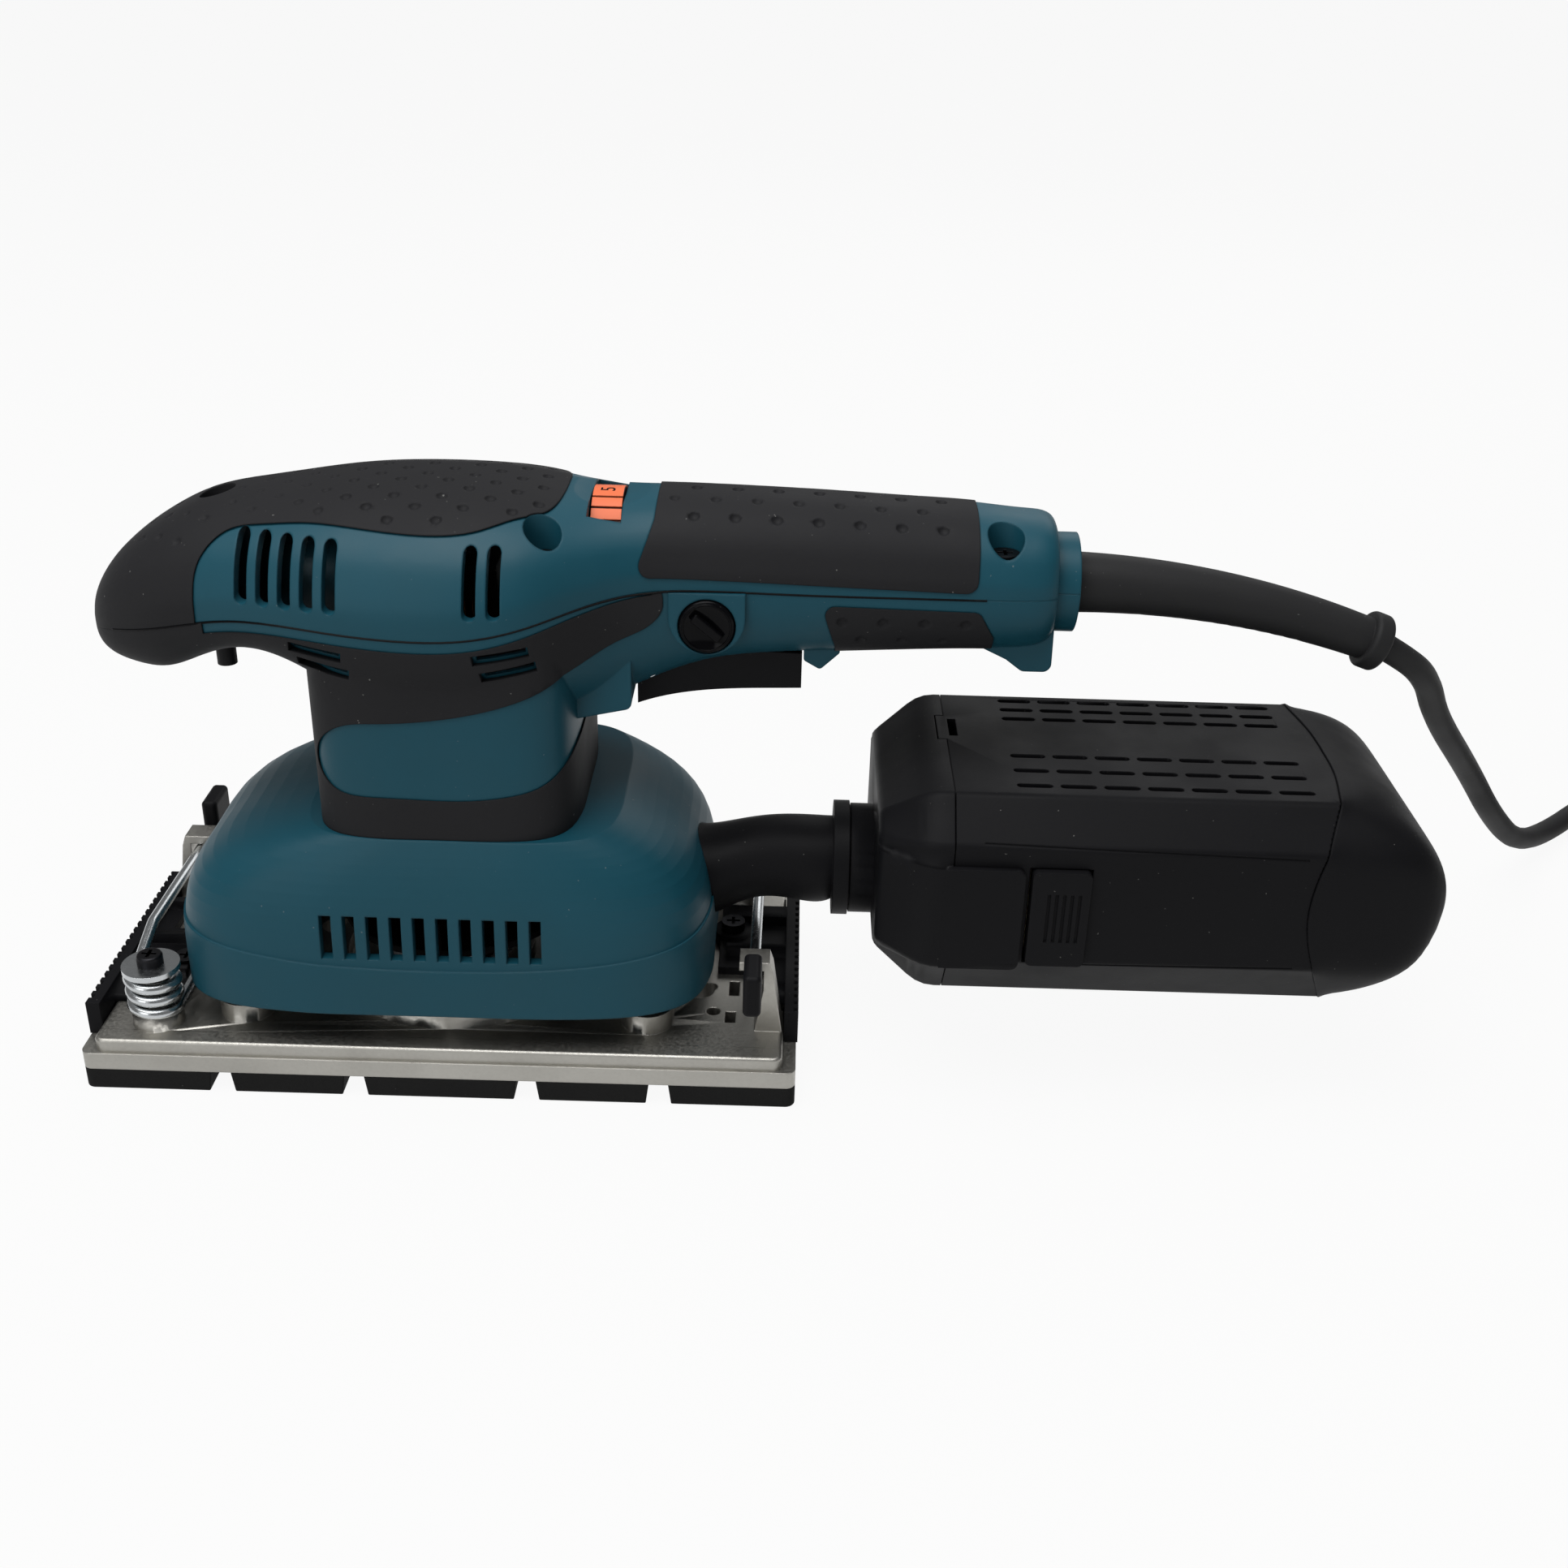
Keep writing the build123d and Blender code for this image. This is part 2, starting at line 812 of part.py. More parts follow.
def neck_form(grow, low):
    wires = [
        plan_oval(neck_x, z, neck_half_length + grow, neck_half_width + grow, neck_power)
        for z in (skirt_top + low, skirt_top + 60)
    ]
    return Part() + Solid.make_loft(wires, ruled=True)


def seam_line():
    spots = [(x, skirt_top + seam) for x, crest, seam, belly, half_width in body_stations()[3:-3:2]]
    first, last = spots[0], spots[-1]
    return [(first[0] - 20, first[1] - 4.2), *spots, (last[0] + 60, last[1])]


def lip_drop(x):
    return lip_height * min(1, (lip_vanish - x) / lip_taper)


def under_seam(with_lip=False):
    spots = [(x, z - lip_drop(x) if with_lip else z) for x, z in seam_line()]
    curve = Spline(*in_side(spots))
    floor = skirt_top - 10
    rest = Polyline(*in_side((spots[-1], (spots[-1][0], floor), (spots[0][0], floor), spots[0])))
    return side_prism(side_face(curve, rest), -60, 60)


def sheet_outline(edge_spots, closing):
    # Outline in side view with one smooth stretch and one of straight runs
    curve = Spline(*in_side([(x, skirt_top + z) for x, z in edge_spots]))
    corners = [edge_spots[-1], *closing, edge_spots[0]]
    rest = Polyline(*in_side([(x, skirt_top + z) for x, z in corners]))
    return side_prism(side_face(curve, rest), -60, 60)


def top_grip_zone():
    edge = (
        (-53.8, 52.0),
        (-53.6, 59.0),
        (-52.4, 67.0),
        (-47.0, 73.1),
        (-37.8, 75.5),
        (-25.5, 76.9),
        (-13.5, 76.8),
        (2.0, 76.2),
        (14.9, 77.2),
        (24.0, 78.9),
        (31.6, 80.2),
        (33.6, 82.4),
        (33.8, 90.0),
    )
    return sheet_outline(edge, ((nose_x - 20, 90.0), (nose_x - 20, 30.0), (-53.8, 30.0)))


def handle_grip_zone():
    rear = handle_rear - 19.8
    outline = FilletPolyline(
        *in_side(
            [
                (x, skirt_top + z)
                for x, z in (
                    (56.4, 95.0),
                    (54.6, 77.0),
                    (50.0, 64.8),
                    (rear, 62.3),
                    (rear + 0.2, 72.0),
                    (rear, 95.0),
                )
            ]
        ),
        radius=3.0,
        close=True,
    )
    return side_prism(side_face(outline), -60, 60)


def lower_grip_zone():
    corners = ((95.4, 58.2), (99.0, 46.0), (99.4, 20.0), (138.4, 20.0), (137.6, 50.0), (133.6, 57.4))
    outline = FilletPolyline(*in_side([(x, skirt_top + z) for x, z in corners]), radius=2.4, close=True)
    return side_prism(side_face(outline), -60, 60)


def panel_zone():
    # Bare panel of the neck, open to the handle behind it
    edge = (
        (56.4, 61.6),
        (56.0, 55.0),
        (53.2, 52.2),
        (46.0, 49.0),
        (38.4, 44.9),
        (30.0, 40.4),
        (18.0, 36.0),
        (4.0, 32.8),
        (-10.0, 31.4),
        (-20.0, 29.8),
        (-25.6, 25.0),
        (-27.2, 17.6),
        (-24.0, 13.2),
        (-12.0, 11.2),
        (6.0, 10.8),
        (20.0, 12.2),
        (30.0, 15.4),
        (35.2, 20.6),
        (37.8, 28.0),
    )
    return sheet_outline(edge, ((90.0, 28.0), (90.0, 61.6)))


def sleeve_zone():
    reach = nose_x - 20
    zone = block((reach, 57.0), (-60, 60), (skirt_top, skirt_top + 70)) - panel_zone()
    zone -= block(
        (neck_x + neck_half_length + 1, 57.0), (-rear_block_half, rear_block_half), (skirt_top, skirt_top + 50)
    )
    lip = under_seam() - under_seam(with_lip=True)
    return zone - (lip & block((-52.0, lip_end), (-60, 60), (skirt_top, skirt_top + 70)))


def sleeve_vents(lip=0):
    # Two slanted windows beside the neck at each end, with a lip left along the foot and ends of each
    vents = Part()
    length, height = sleeve_window
    for x, z, tilt in ((20.0, 50.0, 7.0), (21.6, 45.6, 9.0), (-24.0, 49.2, -7.0), (-22.6, 44.8, -9.0)):
        window = Box(length - 2 * lip, 120.0, height - lip)
        vents += Pos(x, 0, skirt_top + z + lip / 2) * Rot(0, -tilt, 0) * window
    return vents


def housing_vents():
    # The same windows through the wall of the lower housing
    middle = block((-60, 60), (-window_reach, window_reach), (skirt_top, skirt_top + 70))
    return sleeve_vents(window_lip) - middle


def body_screws():
    # Place of each screw, then heights above the skirt of its seat and of the pillar's foot
    middle_foot = bracket_low + bracket_plate + free_gap - skirt_top
    return (
        (front_screw_x, 0.0, 62.0, 30.0),
        (middle_screw_x, middle_screw_y, 68.0, middle_foot),
        (middle_screw_x, -middle_screw_y, 68.0, middle_foot),
        (rear_screw_x, rear_screw_y, 68.0, 38.0),
        (rear_screw_x, -rear_screw_y, 68.0, 38.0),
    )


def make_shell_screws():
    screws = []
    for x, y, seat, foot in body_screws():
        head = skirt_top + seat
        screw = rod(screw_radius, (x, y, head - screw_length), (x, y, head))
        screw += rod(screw_head_radius, (x, y, head), (x, y, head + screw_head_height))
        screws.append(cross_head(screw, (x, y), head).solid())
    return Compound(screws)


def dial_slot():
    half = dial_width / 2 + free_gap
    reach = dial_radius + 1
    return block((dial_x - half, dial_x + half), (-reach, reach), (skirt_top + dial_height - 2, skirt_top + 90))


def dial_scoop():
    # Dish in the crest that bares the rim of the dial
    reach = 28.6
    low = skirt_top + dial_height + dial_radius - 1.4
    return rod(reach, (dial_x + 1.2, -22, low + reach), (dial_x + 1.2, 22, low + reach))


def collar():
    axis = skirt_top + collar_height
    return rod(collar_radius, (handle_rear - 6, 0, axis), (handle_rear + collar_length, 0, axis))


def rear_hook():
    outline = FilletPolyline(
        *in_side(
            [
                (x, skirt_top + z)
                for x, z in (
                    (handle_rear - 21.0, 47.0),
                    (handle_rear - 10.5, 42.0),
                    (handle_rear - 6.4, hook_low),
                    (handle_rear + 1.0, hook_low),
                    (handle_rear + 0.6, 60.0),
                    (handle_rear - 21.0, 60.0),
                )
            ]
        ),
        radius=2.2,
        close=True,
    )
    return side_prism(side_face(outline), -hook_half, hook_half)


def front_lug():
    front, rear = trigger_rear + free_gap, trigger_rear + 9.4
    corners = ((front, lug_low + 2.4), (front + 4.2, lug_low), (rear, 42.0), (rear, 46.0), (front, 46.0))
    outline = FilletPolyline(*in_side([(x, skirt_top + z) for x, z in corners]), radius=1.0, close=True)
    return side_prism(side_face(outline), -lug_half, lug_half)


def rear_block():
    # Step of the housing behind the neck, ahead of the trigger
    outline = FilletPolyline(
        *in_side(
            [
                (x, skirt_top + z)
                for x, z in (
                    (20.0, rear_block_low - 2),
                    (neck_half_length, rear_block_low),
                    (rear_block_x, rear_block_low + 3.6),
                    (rear_block_x, 50.0),
                    (20.0, 50.0),
                )
            ]
        ),
        radius=2.0,
        close=True,
    )
    return side_prism(side_face(outline), -rear_block_half, rear_block_half)


def button_boss():
    # Raised pad round the lock button, open to the seam above it
    low = skirt_top + button_z + 2.0
    top = skirt_top + 61.0
    left, right = button_x - boss_half, button_x + boss_half
    outline = Polyline((left, 0, low), (left, 0, top), (right, 0, top), (right, 0, low))
    arc = ThreePointArc((right, 0, low), (button_x, 0, low - boss_half), (left, 0, low))
    return side_prism(side_face(outline, arc), boss_face_y, boss_face_y + 6)


# Skins of the body at the four depths that the pieces share
low_side = under_seam()
body_proud = body_form(grip_proud)
body_skin = body_form(0)
body_under_grip = body_form(-grip_depth, first=1)
body_hollow = body_form(-shell_wall, first=2, last=2)
lower_proud = (body_proud + neck_form(grip_proud, 0)) & low_side
lower_skin = (body_skin + neck_form(0, 0)) & low_side
lower_under_grip = (body_under_grip + neck_form(-grip_depth, 0)) & low_side
lower_extras = (rear_hook() + front_lug() + rear_block() + button_boss() + collar()) & low_side
lower_core = lower_under_grip + lower_extras
upper_core = body_under_grip - low_side
sleeve_area = sleeve_zone() & low_side
lower_grip_area = lower_grip_zone()


def make_lower_housing():
    low, high = skirt_top, skirt_top + core_lift - 1
    added = inner_ribs()
    bores = [make_trigger_pin(), guard_root(), trigger_opening(), inner_lead_space()]
    bores.append(rod(core_radius, on_axis(core_low), on_axis(bracket_low)))
    for x, y, seat, foot in body_screws():
        foot, head = skirt_top + foot, skirt_top + seat
        added += rod(screw_radius + screw_boss_wall, (x, y, foot), (x, y, head))
        if abs(y) > rear_screw_y:
            added += block((x - screw_boss_wall, x + screw_boss_wall), sorted((y, 2 * y)), (foot, head))
        bores.append(rod(screw_radius, (x, y, head - screw_length), (x, y, head)))
    for x, y in skirt_screw_places():
        added += rod(screw_radius + screw_boss_wall, (x, y, low), (x, y, high))
        out = math.copysign(5, x)
        added += block(sorted((x, x + out)), sorted((y, 1.2 * y)), (low, high))
        bores.append(rod(screw_radius, (x, y, low), (x, y, high)))
    middle = skirt_top + button_z
    face, back = (button_x, boss_face_y - 1, middle), (button_x, boss_face_y + 9, middle)
    bores.append(rod(button_radius + body_gap, face, back))
    housing = (lower_skin + lower_extras) - ((sleeve_area + lower_grip_area) - lower_core)
    housing -= body_hollow + neck_form(-shell_wall, -1)
    return housing + (added & lower_core) - bores - housing_vents()


def inner_ribs():
    # Ribs that carry the stator, the bracket, the controller, the lead and the trigger pin
    ribs = Part()
    stator_rib = block((core_radius - 3, neck_half_width), (-4, 4), (core_low - 3, bracket_low))
    for turn in (0, 90, 180, 270):
        ribs += Rot(0, 0, turn) * stator_rib
    for x in (dial_x - 2, dial_x + 4):
        ribs += block((x - 1, x + 1), (-18, 18), (skirt_top + 26, controller_low))
    ribs += block((cord_clamp_x - 4, cord_clamp_x + 4), (-17, 17), (skirt_top + 42, lead_axis))
    x, z = trigger_pivot_x, skirt_top + trigger_pivot_z
    return ribs + block((x - 3, x + 3), (-12, 12), (z - 5.5, z + 3.5))


def trigger_opening():
    return block(
        (trigger_front - free_gap, trigger_rear + free_gap),
        (-trigger_half - free_gap, trigger_half + free_gap),
        (skirt_top + 20, skirt_top + 47),
    )


def make_neck_sleeve():
    sleeve = (lower_proud - lower_core) & sleeve_area
    sleeve -= sleeve_vents()
    peg = rod(2.5, (front_screw_x - 3, 0, skirt_top + peg_low), (front_screw_x - 3, 0, skirt_top + 40))
    return sleeve + (peg - lower_core)


def make_lower_grip():
    return (lower_proud - lower_core) & lower_grip_area


def make_upper_shell():
    added = Part()
    cuts = [dial_scoop(), dial_slot(), guard_root(), inner_lead_space()]
    for x, y, seat, foot in body_screws():
        foot, head, top = skirt_top + foot, skirt_top + seat, skirt_top + 90
        added += rod(screw_recess_radius + screw_boss_wall, (x, y, foot), (x, y, top))
        cuts.append(rod(screw_recess_radius, (x, y, head), (x, y, top)))
        cuts.append(rod(screw_radius, (x, y, foot), (x, y, head)))
    for x in (64.0, 84.0):
        added += block((x - 1.2, x + 1.2), (-16, 16), (switch_high, skirt_top + 79))
    slots = [front_slot_first + front_slot_pitch * k for k in range(front_slot_count)]
    cuts.extend(air_slot(x) for x in [*slots, *rear_slots])
    shell = (body_skin + collar()) - low_side
    shell -= (top_grip_zone() + handle_grip_zone()) - upper_core
    shell -= body_hollow
    return shell + (added & upper_core) - cuts


def air_slot(x):
    half = slot_width / 2
    low, high = skirt_top + slot_low + half, skirt_top + slot_high - half
    slot = block((x - half, x + half), (-60, 60), (low, high))
    for z in (low, high):
        slot += rod(half, (x, -60, z), (x, 60, z))
    return slot - block((x - 2 * half, x + 2 * half), (-14, 14), (low - 5, high + 5))


def make_top_grip():
    grip = ((body_proud - low_side) - upper_core) & top_grip_zone()
    for x, y, seat, foot in body_screws()[:3]:
        grip -= rod(screw_recess_radius, (x, y, skirt_top + seat), (x, y, skirt_top + 90))
    return grip


def make_handle_grip():
    return ((body_proud - low_side) - upper_core) & handle_grip_zone()


# Motor
def on_axis(z):
    return (motor_x, 0, z)


def make_shaft():
    shaft = rod(pin_radius, (0, 0, bearing_seat), (0, 0, pin_top))
    shaft += rod(shaft_radius, on_axis(pin_top), on_axis(shaft_top))
    return shaft - rod(bolt_radius, (0, 0, bearing_seat), (0, 0, bearing_seat + bolt_grip))


def make_pad_bolt():
    bolt = rod(bolt_head_radius, (0, 0, bearing_seat - bolt_head_height), (0, 0, bearing_seat))
    return bolt + rod(bolt_radius, (0, 0, bearing_seat), (0, 0, bearing_seat + bolt_grip))


def make_balance_weight():
    high = weight_low + weight_height
    weight = rod(weight_radius, on_axis(weight_low), on_axis(high))
    reach = 2 * weight_radius
    weight -= block((motor_x + hub_radius, motor_x + reach), (-reach, reach), (weight_low, high))
    return weight - rod(shaft_radius, on_axis(weight_low), on_axis(high))


def make_fan():
    high = fan_low + fan_height
    fan = rod(fan_radius, on_axis(fan_low), on_axis(fan_low + fan_disc))
    fan += rod(hub_radius, on_axis(fan_low), on_axis(high))
    half = fan_blade_thickness / 2
    blade = block((hub_radius - 1, fan_radius), (-half, half), (fan_low + fan_disc, high))
    for k in range(fan_blades):
        fan += Pos(motor_x, 0, 0) * Rot(0, 0, 360 / fan_blades * k) * blade
    return fan - rod(shaft_radius, on_axis(fan_low), on_axis(high))


def make_bearing(radius, bore, low, width, centre_x):
    # Two races with a shield between them, as one turned ring
    ring = tube(radius, bore, (centre_x, 0, low), (centre_x, 0, low + width))
    groove_out, groove_in = radius - 2.0, bore + 2.0
    for z in (low, low + width - 0.6):
        ring -= tube(groove_out, groove_in, (centre_x, 0, z), (centre_x, 0, z + 0.6))
    return ring


def coil_sector(low, high):
    ring = tube(coil_outer, coil_inner, on_axis(low), on_axis(high))
    half = math.radians(coil_span / 2)
    reach = 2 * coil_outer
    corner = (reach * math.sin(half), reach * math.cos(half))
    outline = Polyline((0, 0), (corner[0], corner[1]), (-corner[0], corner[1]), close=True)
    wedge = Face(Wire(outline.edges())).translate((motor_x, 0, low))
    return ring & (Part() + Solid.extrude(wedge, Vector(0, 0, high - low)))


def stator_coils():
    coil = coil_sector(core_low - coil_overhang, core_high + coil_overhang)
    return coil, Pos(2 * motor_x, 0, 0) * half_turn(coil)


def make_stator_core():
    core = tube(core_radius, rotor_radius + air_gap, on_axis(core_low), on_axis(core_high))
    for coil in stator_coils():
        core -= coil
    return core


def make_rotor_core():
    core = tube(rotor_radius, shaft_radius, on_axis(core_low), on_axis(core_high))
    for k in range(12):
        slot = block((rotor_radius - 1.0, rotor_radius + 1), (-0.8, 0.8), (core_low, core_high))
        core -= Pos(motor_x, 0, 0) * Rot(0, 0, 30 * k) * slot
    return core


def make_rotor_windings():
    ends = []
    for low, high in ((core_low - winding_overhang, core_low), (core_high, core_high + winding_overhang)):
        ring = tube(winding_radius, shaft_radius, on_axis(low), on_axis(high))
        ends.append(fillet(ring.edges().filter_by(GeomType.CIRCLE).group_by(SortBy.RADIUS)[-1], 2.0).solid())
    return Compound(ends)


def make_commutator():
    high = commutator_low + commutator_height
    bars = tube(commutator_radius, shaft_radius, on_axis(commutator_low), on_axis(high))
    for k in range(24):
        cut = block((commutator_radius - 0.8, commutator_radius + 1), (-0.3, 0.3), (commutator_low, high))
        bars -= Pos(motor_x, 0, 0) * Rot(0, 0, 15 * k) * cut
    return bars


def make_bearing_bracket():
    plate_high = bracket_low + bracket_plate
    plate = neck_form(-shell_wall - slide_fit, 0) & block((-60, 60), (-60, 60), (bracket_low, plate_high))
    plate -= rod(commutator_radius + 3, on_axis(bracket_low), on_axis(plate_high))
    reach = upper_bearing_radius + bracket_post + 2
    for side in (-1, 1):
        x_span = sorted((motor_x + side * (reach - bracket_post), motor_x + side * reach))
        plate += block(x_span, (-bracket_half_width, bracket_half_width), (plate_high, shaft_top))
    bridge = block(
        (motor_x - reach, motor_x + reach),
        (-bracket_half_width - 4, bracket_half_width + 4),
        (upper_bearing_low - 2, shaft_top),
    )
    plate += bridge
    plate -= rod(upper_bearing_radius, on_axis(upper_bearing_low), on_axis(shaft_top))
    return plate - rod(shaft_radius + 2, on_axis(upper_bearing_low - 2), on_axis(shaft_top))


brush_start = commutator_radius + body_gap
brush_middle = commutator_low + commutator_height / 2
holder_start = brush_start + 2.0


def brush_box(grow, start, end):
    x, z = brush_width / 2 + grow, brush_height / 2 + grow
    return block((motor_x - x, motor_x + x), (start, end), (brush_middle - z, brush_middle + z))


def both_brush_sides(solid):
    turned = Pos(2 * motor_x, 0, 0) * half_turn(solid)
    return Compound([solid.solid(), turned.solid()])


def make_brushes():
    return both_brush_sides(brush_box(0, brush_start, brush_start + brush_length))


def make_brush_springs():
    low, high = brush_start + brush_length, holder_start + holder_length - holder_wall
    spring = rod(brush_height / 2 - 0.3, (motor_x, low, brush_middle), (motor_x, high, brush_middle))
    return both_brush_sides(spring)


def make_brush_holders():
    high = holder_start + holder_length
    holder = brush_box(holder_wall, holder_start, high)
    foot = brush_middle - brush_height / 2 - holder_wall
    half = brush_width / 2 + holder_wall
    holder += block((motor_x - half, motor_x + half), (holder_start, high), (bracket_low + bracket_plate, foot))
    return both_brush_sides(holder - brush_box(0, holder_start, high - holder_wall))


# Switch, trigger, lock button and speed control
controller_low = skirt_top + 41.0
switch_low = skirt_top + 50.5
switch_high = skirt_top + 63.0
switch_half = 9.5
lead_axis = skirt_top + collar_height
cord_clamp_x = handle_rear - 25.0


def make_speed_controller():
    half = dial_width / 2 + free_gap + slide_fit
    high = skirt_top + dial_height - dial_radius - free_gap
    board = block((dial_x - 7, dial_x + 11), (-11, 11), (controller_low, high))
    axis = skirt_top + dial_height
    for side in (-1, 1):
        inner, outer = sorted((dial_x + side * half, dial_x + side * (half + 2.4)))
        board += block((inner, outer), (-4, 4), (high, axis + 4))
    return board + rod(dial_axle_radius, (dial_x - half - 1, 0, axis), (dial_x + half + 1, 0, axis))


def make_speed_dial():
    # Grooved rim, with a plain place for a number in each group of grooves
    axis = skirt_top + dial_height
    start, end = (dial_x - dial_width / 2, 0, axis), (dial_x + dial_width / 2, 0, axis)
    dial = tube(dial_radius, dial_axle_radius + running_fit, start, end)
    groove = block((start[0], end[0]), (-0.35, 0.35), (dial_radius - dial_rib_depth, dial_radius + 1))
    for k in range(dial_ribs):
        if k % dial_rib_group:
            dial -= Pos(0, 0, axis) * Rot(dial_start + 360 / dial_ribs * k, 0, 0) * groove
    return dial


def make_switch_body():
    body = block((60.0, 88.0), (-switch_half, switch_half), (switch_low, switch_high))
    return fillet(body.edges().filter_by(Axis.Z), 1.2)


def make_trigger():
    under = ((trigger_front, 26.6), (58.0, 29.2), (72.0, 31.2), (trigger_rear, 32.0))
    over = ((trigger_rear, 41.4), (72.0, 42.0), (58.0, 40.4), (trigger_front, 38.6))
    curve = Spline(*in_side([(x, skirt_top + z) for x, z in under]))
    rest = Polyline(*in_side([(x, skirt_top + z) for x, z in (under[-1], *over, under[0])]))
    trigger = side_prism(side_face(curve, rest), -trigger_half, trigger_half)
    x, z = trigger_pivot_x, skirt_top + trigger_pivot_z
    return trigger - rod(trigger_pin_radius + running_fit, (x, -trigger_half, z), (x, trigger_half, z))


def make_trigger_pin():
    z = skirt_top + trigger_pivot_z
    return rod(trigger_pin_radius, (trigger_pivot_x, -11, z), (trigger_pivot_x, 11, z))


def make_trigger_spring():
    return rod(3.0, (78.0, 0, skirt_top + 42.0), (78.0, 0, switch_low))


def make_lock_button():
    z = skirt_top + button_z
    button = rod(button_radius, (button_x, button_face_y, z), (button_x, button_face_y + button_length, z))
    button = fillet(button.edges().filter_by(GeomType.CIRCLE).sort_by(Axis.Y)[0], 0.8)
    return button - Pos(button_x, button_face_y - 17.2, z) * Sphere(18.2)


def make_lock_spring():
    z = skirt_top + button_z
    return rod(3.2, (button_x, button_face_y + button_length + 0.1, z), (button_x, -switch_half, z))


def inner_lead_space():
    return rod(cord_radius, (cord_clamp_x - 8, 0, lead_axis), (guard_start, 0, lead_axis))


def make_cord_clamp():
    bar = block((cord_clamp_x - 4, cord_clamp_x + 4), (-11, 11), (lead_axis, lead_axis + cord_radius + 2.5))
    return bar - inner_lead_space()


# Dust box
def box_outline(inset):
    # Eight sided section, with the corners kept at an even distance inside
    axis = skirt_bottom + elbow_axis
    half, flat = box_half_width - inset, box_flat_half - inset * 0.7
    top, shoulder = axis + box_top - inset, axis + box_shoulder - inset * 0.3
    haunch, low = axis + box_haunch + inset * 0.3, axis + box_bottom + inset
    right = ((flat, top), (half, shoulder), (half, haunch), (flat, low))
    return [*right, *[(-y, z) for y, z in reversed(right)]]


def box_wire(x, inset, radius):
    corners = [(x, y, z) for y, z in box_outline(inset)]
    return Wire(FilletPolyline(*corners, radius=radius, close=True).edges())


def box_taper(*ends):
    # Straight walled stretch of the box between two sections, each a place, an inset and a corner radius
    return Part() + Solid.make_loft([box_wire(*end) for end in ends], ruled=True)


def box_prism(inset, x_low, x_high, radius):
    return box_taper((x_low, inset, radius), (x_high, inset, radius))


def nose_profile(inset):
    # Side view of the box with its round end
    axis = skirt_bottom + elbow_axis
    top, low = axis + box_top - inset, axis + box_bottom + inset
    start = box_nose_start
    tip = (box_end - inset, axis + box_nose_tip)
    upper = EllipticalCenterArc((start, tip[1]), tip[0] - start, top - tip[1], start_angle=0, arc_size=90)
    lower_start = box_nose_under
    lower = EllipticalCenterArc(
        (lower_start, tip[1]), tip[0] - lower_start, tip[1] - low, start_angle=270, arc_size=90
    )
    lines = Polyline((start, top), (box_face - 20, top), (box_face - 20, low), (lower_start, low))
    face = Face(Wire([*lower.edges(), *upper.edges(), *lines.edges()]))
    placed = Plane.XZ * face
    return Part() + Solid.extrude(placed.translate((0, 60, 0)), Vector(0, -120, 0))


def box_slots():
    slots = Part()
    top = skirt_bottom + elbow_axis + box_top
    for y in slot_rows:
        for k in range(slot_row_count):
            x = slot_row_first + slot_row_pitch * k
            slots += Pos(x + slot_row_length / 2, y, top) * extrude(
                SlotOverall(slot_row_length, slot_row_width), amount=box_wall + 1, both=True
            )
    return slots


def latch_window(side):
    low, high = skirt_bottom + elbow_axis + arm_low, skirt_bottom + elbow_axis + arm_high
    start = arm_rear + latch_gap
    y_span = sorted((side * (box_half_width - box_wall - 1), side * (box_half_width + 3)))
    return block((start, start + latch_length), y_span, (low + 1, high))


def make_dust_box():
    body = box_prism(0, box_seam, box_end + 10, 3.0) & nose_profile(0)
    rim = box_prism(box_wall + body_gap, box_seam - box_rim, box_seam + box_rim_root, 2.0)
    body += rim
    root = box_seam + box_rim_root
    hollow = box_prism(2 * box_wall + body_gap, box_seam - box_rim - 1, root + 1, 1.6)
    hollow += box_prism(box_wall, root, box_end + 10, 2.4) & nose_profile(box_wall)
    body -= hollow
    for side in (-1, 1):
        body -= latch_window(side)
    top = skirt_bottom + elbow_axis + box_top
    window = block((box_seam + 0.6, box_seam + 2.8), (3.0, 13.4), (top - box_wall - 6, top))
    return body + box_tongue() - box_slots() - window


def make_latch(side):
    # Ribbed press tab in the side of the box, which turns on a barrel at its rear end
    axis = skirt_bottom + elbow_axis
    low, high = axis + arm_low + 1 + body_gap, axis + arm_high - body_gap
    start = arm_rear + latch_gap + 2 * body_gap
    end = arm_rear + latch_gap + latch_length - body_gap
    y_span = sorted((side * (box_half_width - box_wall), side * (box_half_width + arm_thickness - 0.2)))
    tab = block((start, end), y_span, (low, high))
    tab = fillet(tab.edges().filter_by(Axis.Y), 1.5)
    back = box_half_width - box_wall
    relief = sorted((side * (back - 1), side * (back + latch_relief)))
    tab -= block((start - 1, end + 1), relief, (low - 1, low + 2))
    pivot = (end - latch_barrel, side * back)
    tab += rod(latch_barrel, (*pivot, low + 2), (*pivot, high - 1.5))
    face = box_half_width + arm_thickness
    for k in range(5):
        x = start + 4.0 + 1.9 * k
        tab -= block((x, x + 0.8), sorted((side * (face - 0.8), side * face)), (low + 7, high - 6))
    return tab


def eased_corner(before, corner, after):
    # Smooth turn from one run to the next
    spots = []
    for k in range(cover_ease_steps + 1):
        t = k / cover_ease_steps
        weights = ((1 - t) ** 2, 2 * t * (1 - t), t * t)
        spots.append([sum(w * spot[i] for w, spot in zip(weights, (before, corner, after))) for i in (0, 1)])
    return spots


def cover_front(inset, start, radius):
    # Chamfered front of the cover, eased into its face and into its full section
    depth, rise = box_chamfer_end - start, cover_inset
    slant = math.hypot(depth, rise)
    face, full = cover_face_ease / slant, cover_ease / slant
    rings = eased_corner((0, rise + cover_face_ease), (0, rise), (depth * face, rise * (1 - face)))
    rings += eased_corner((depth * (1 - full), rise * full), (depth, 0), (depth + cover_ease, 0))
    return box_taper(*[(start + x, drop + inset, radius) for x, drop in rings])


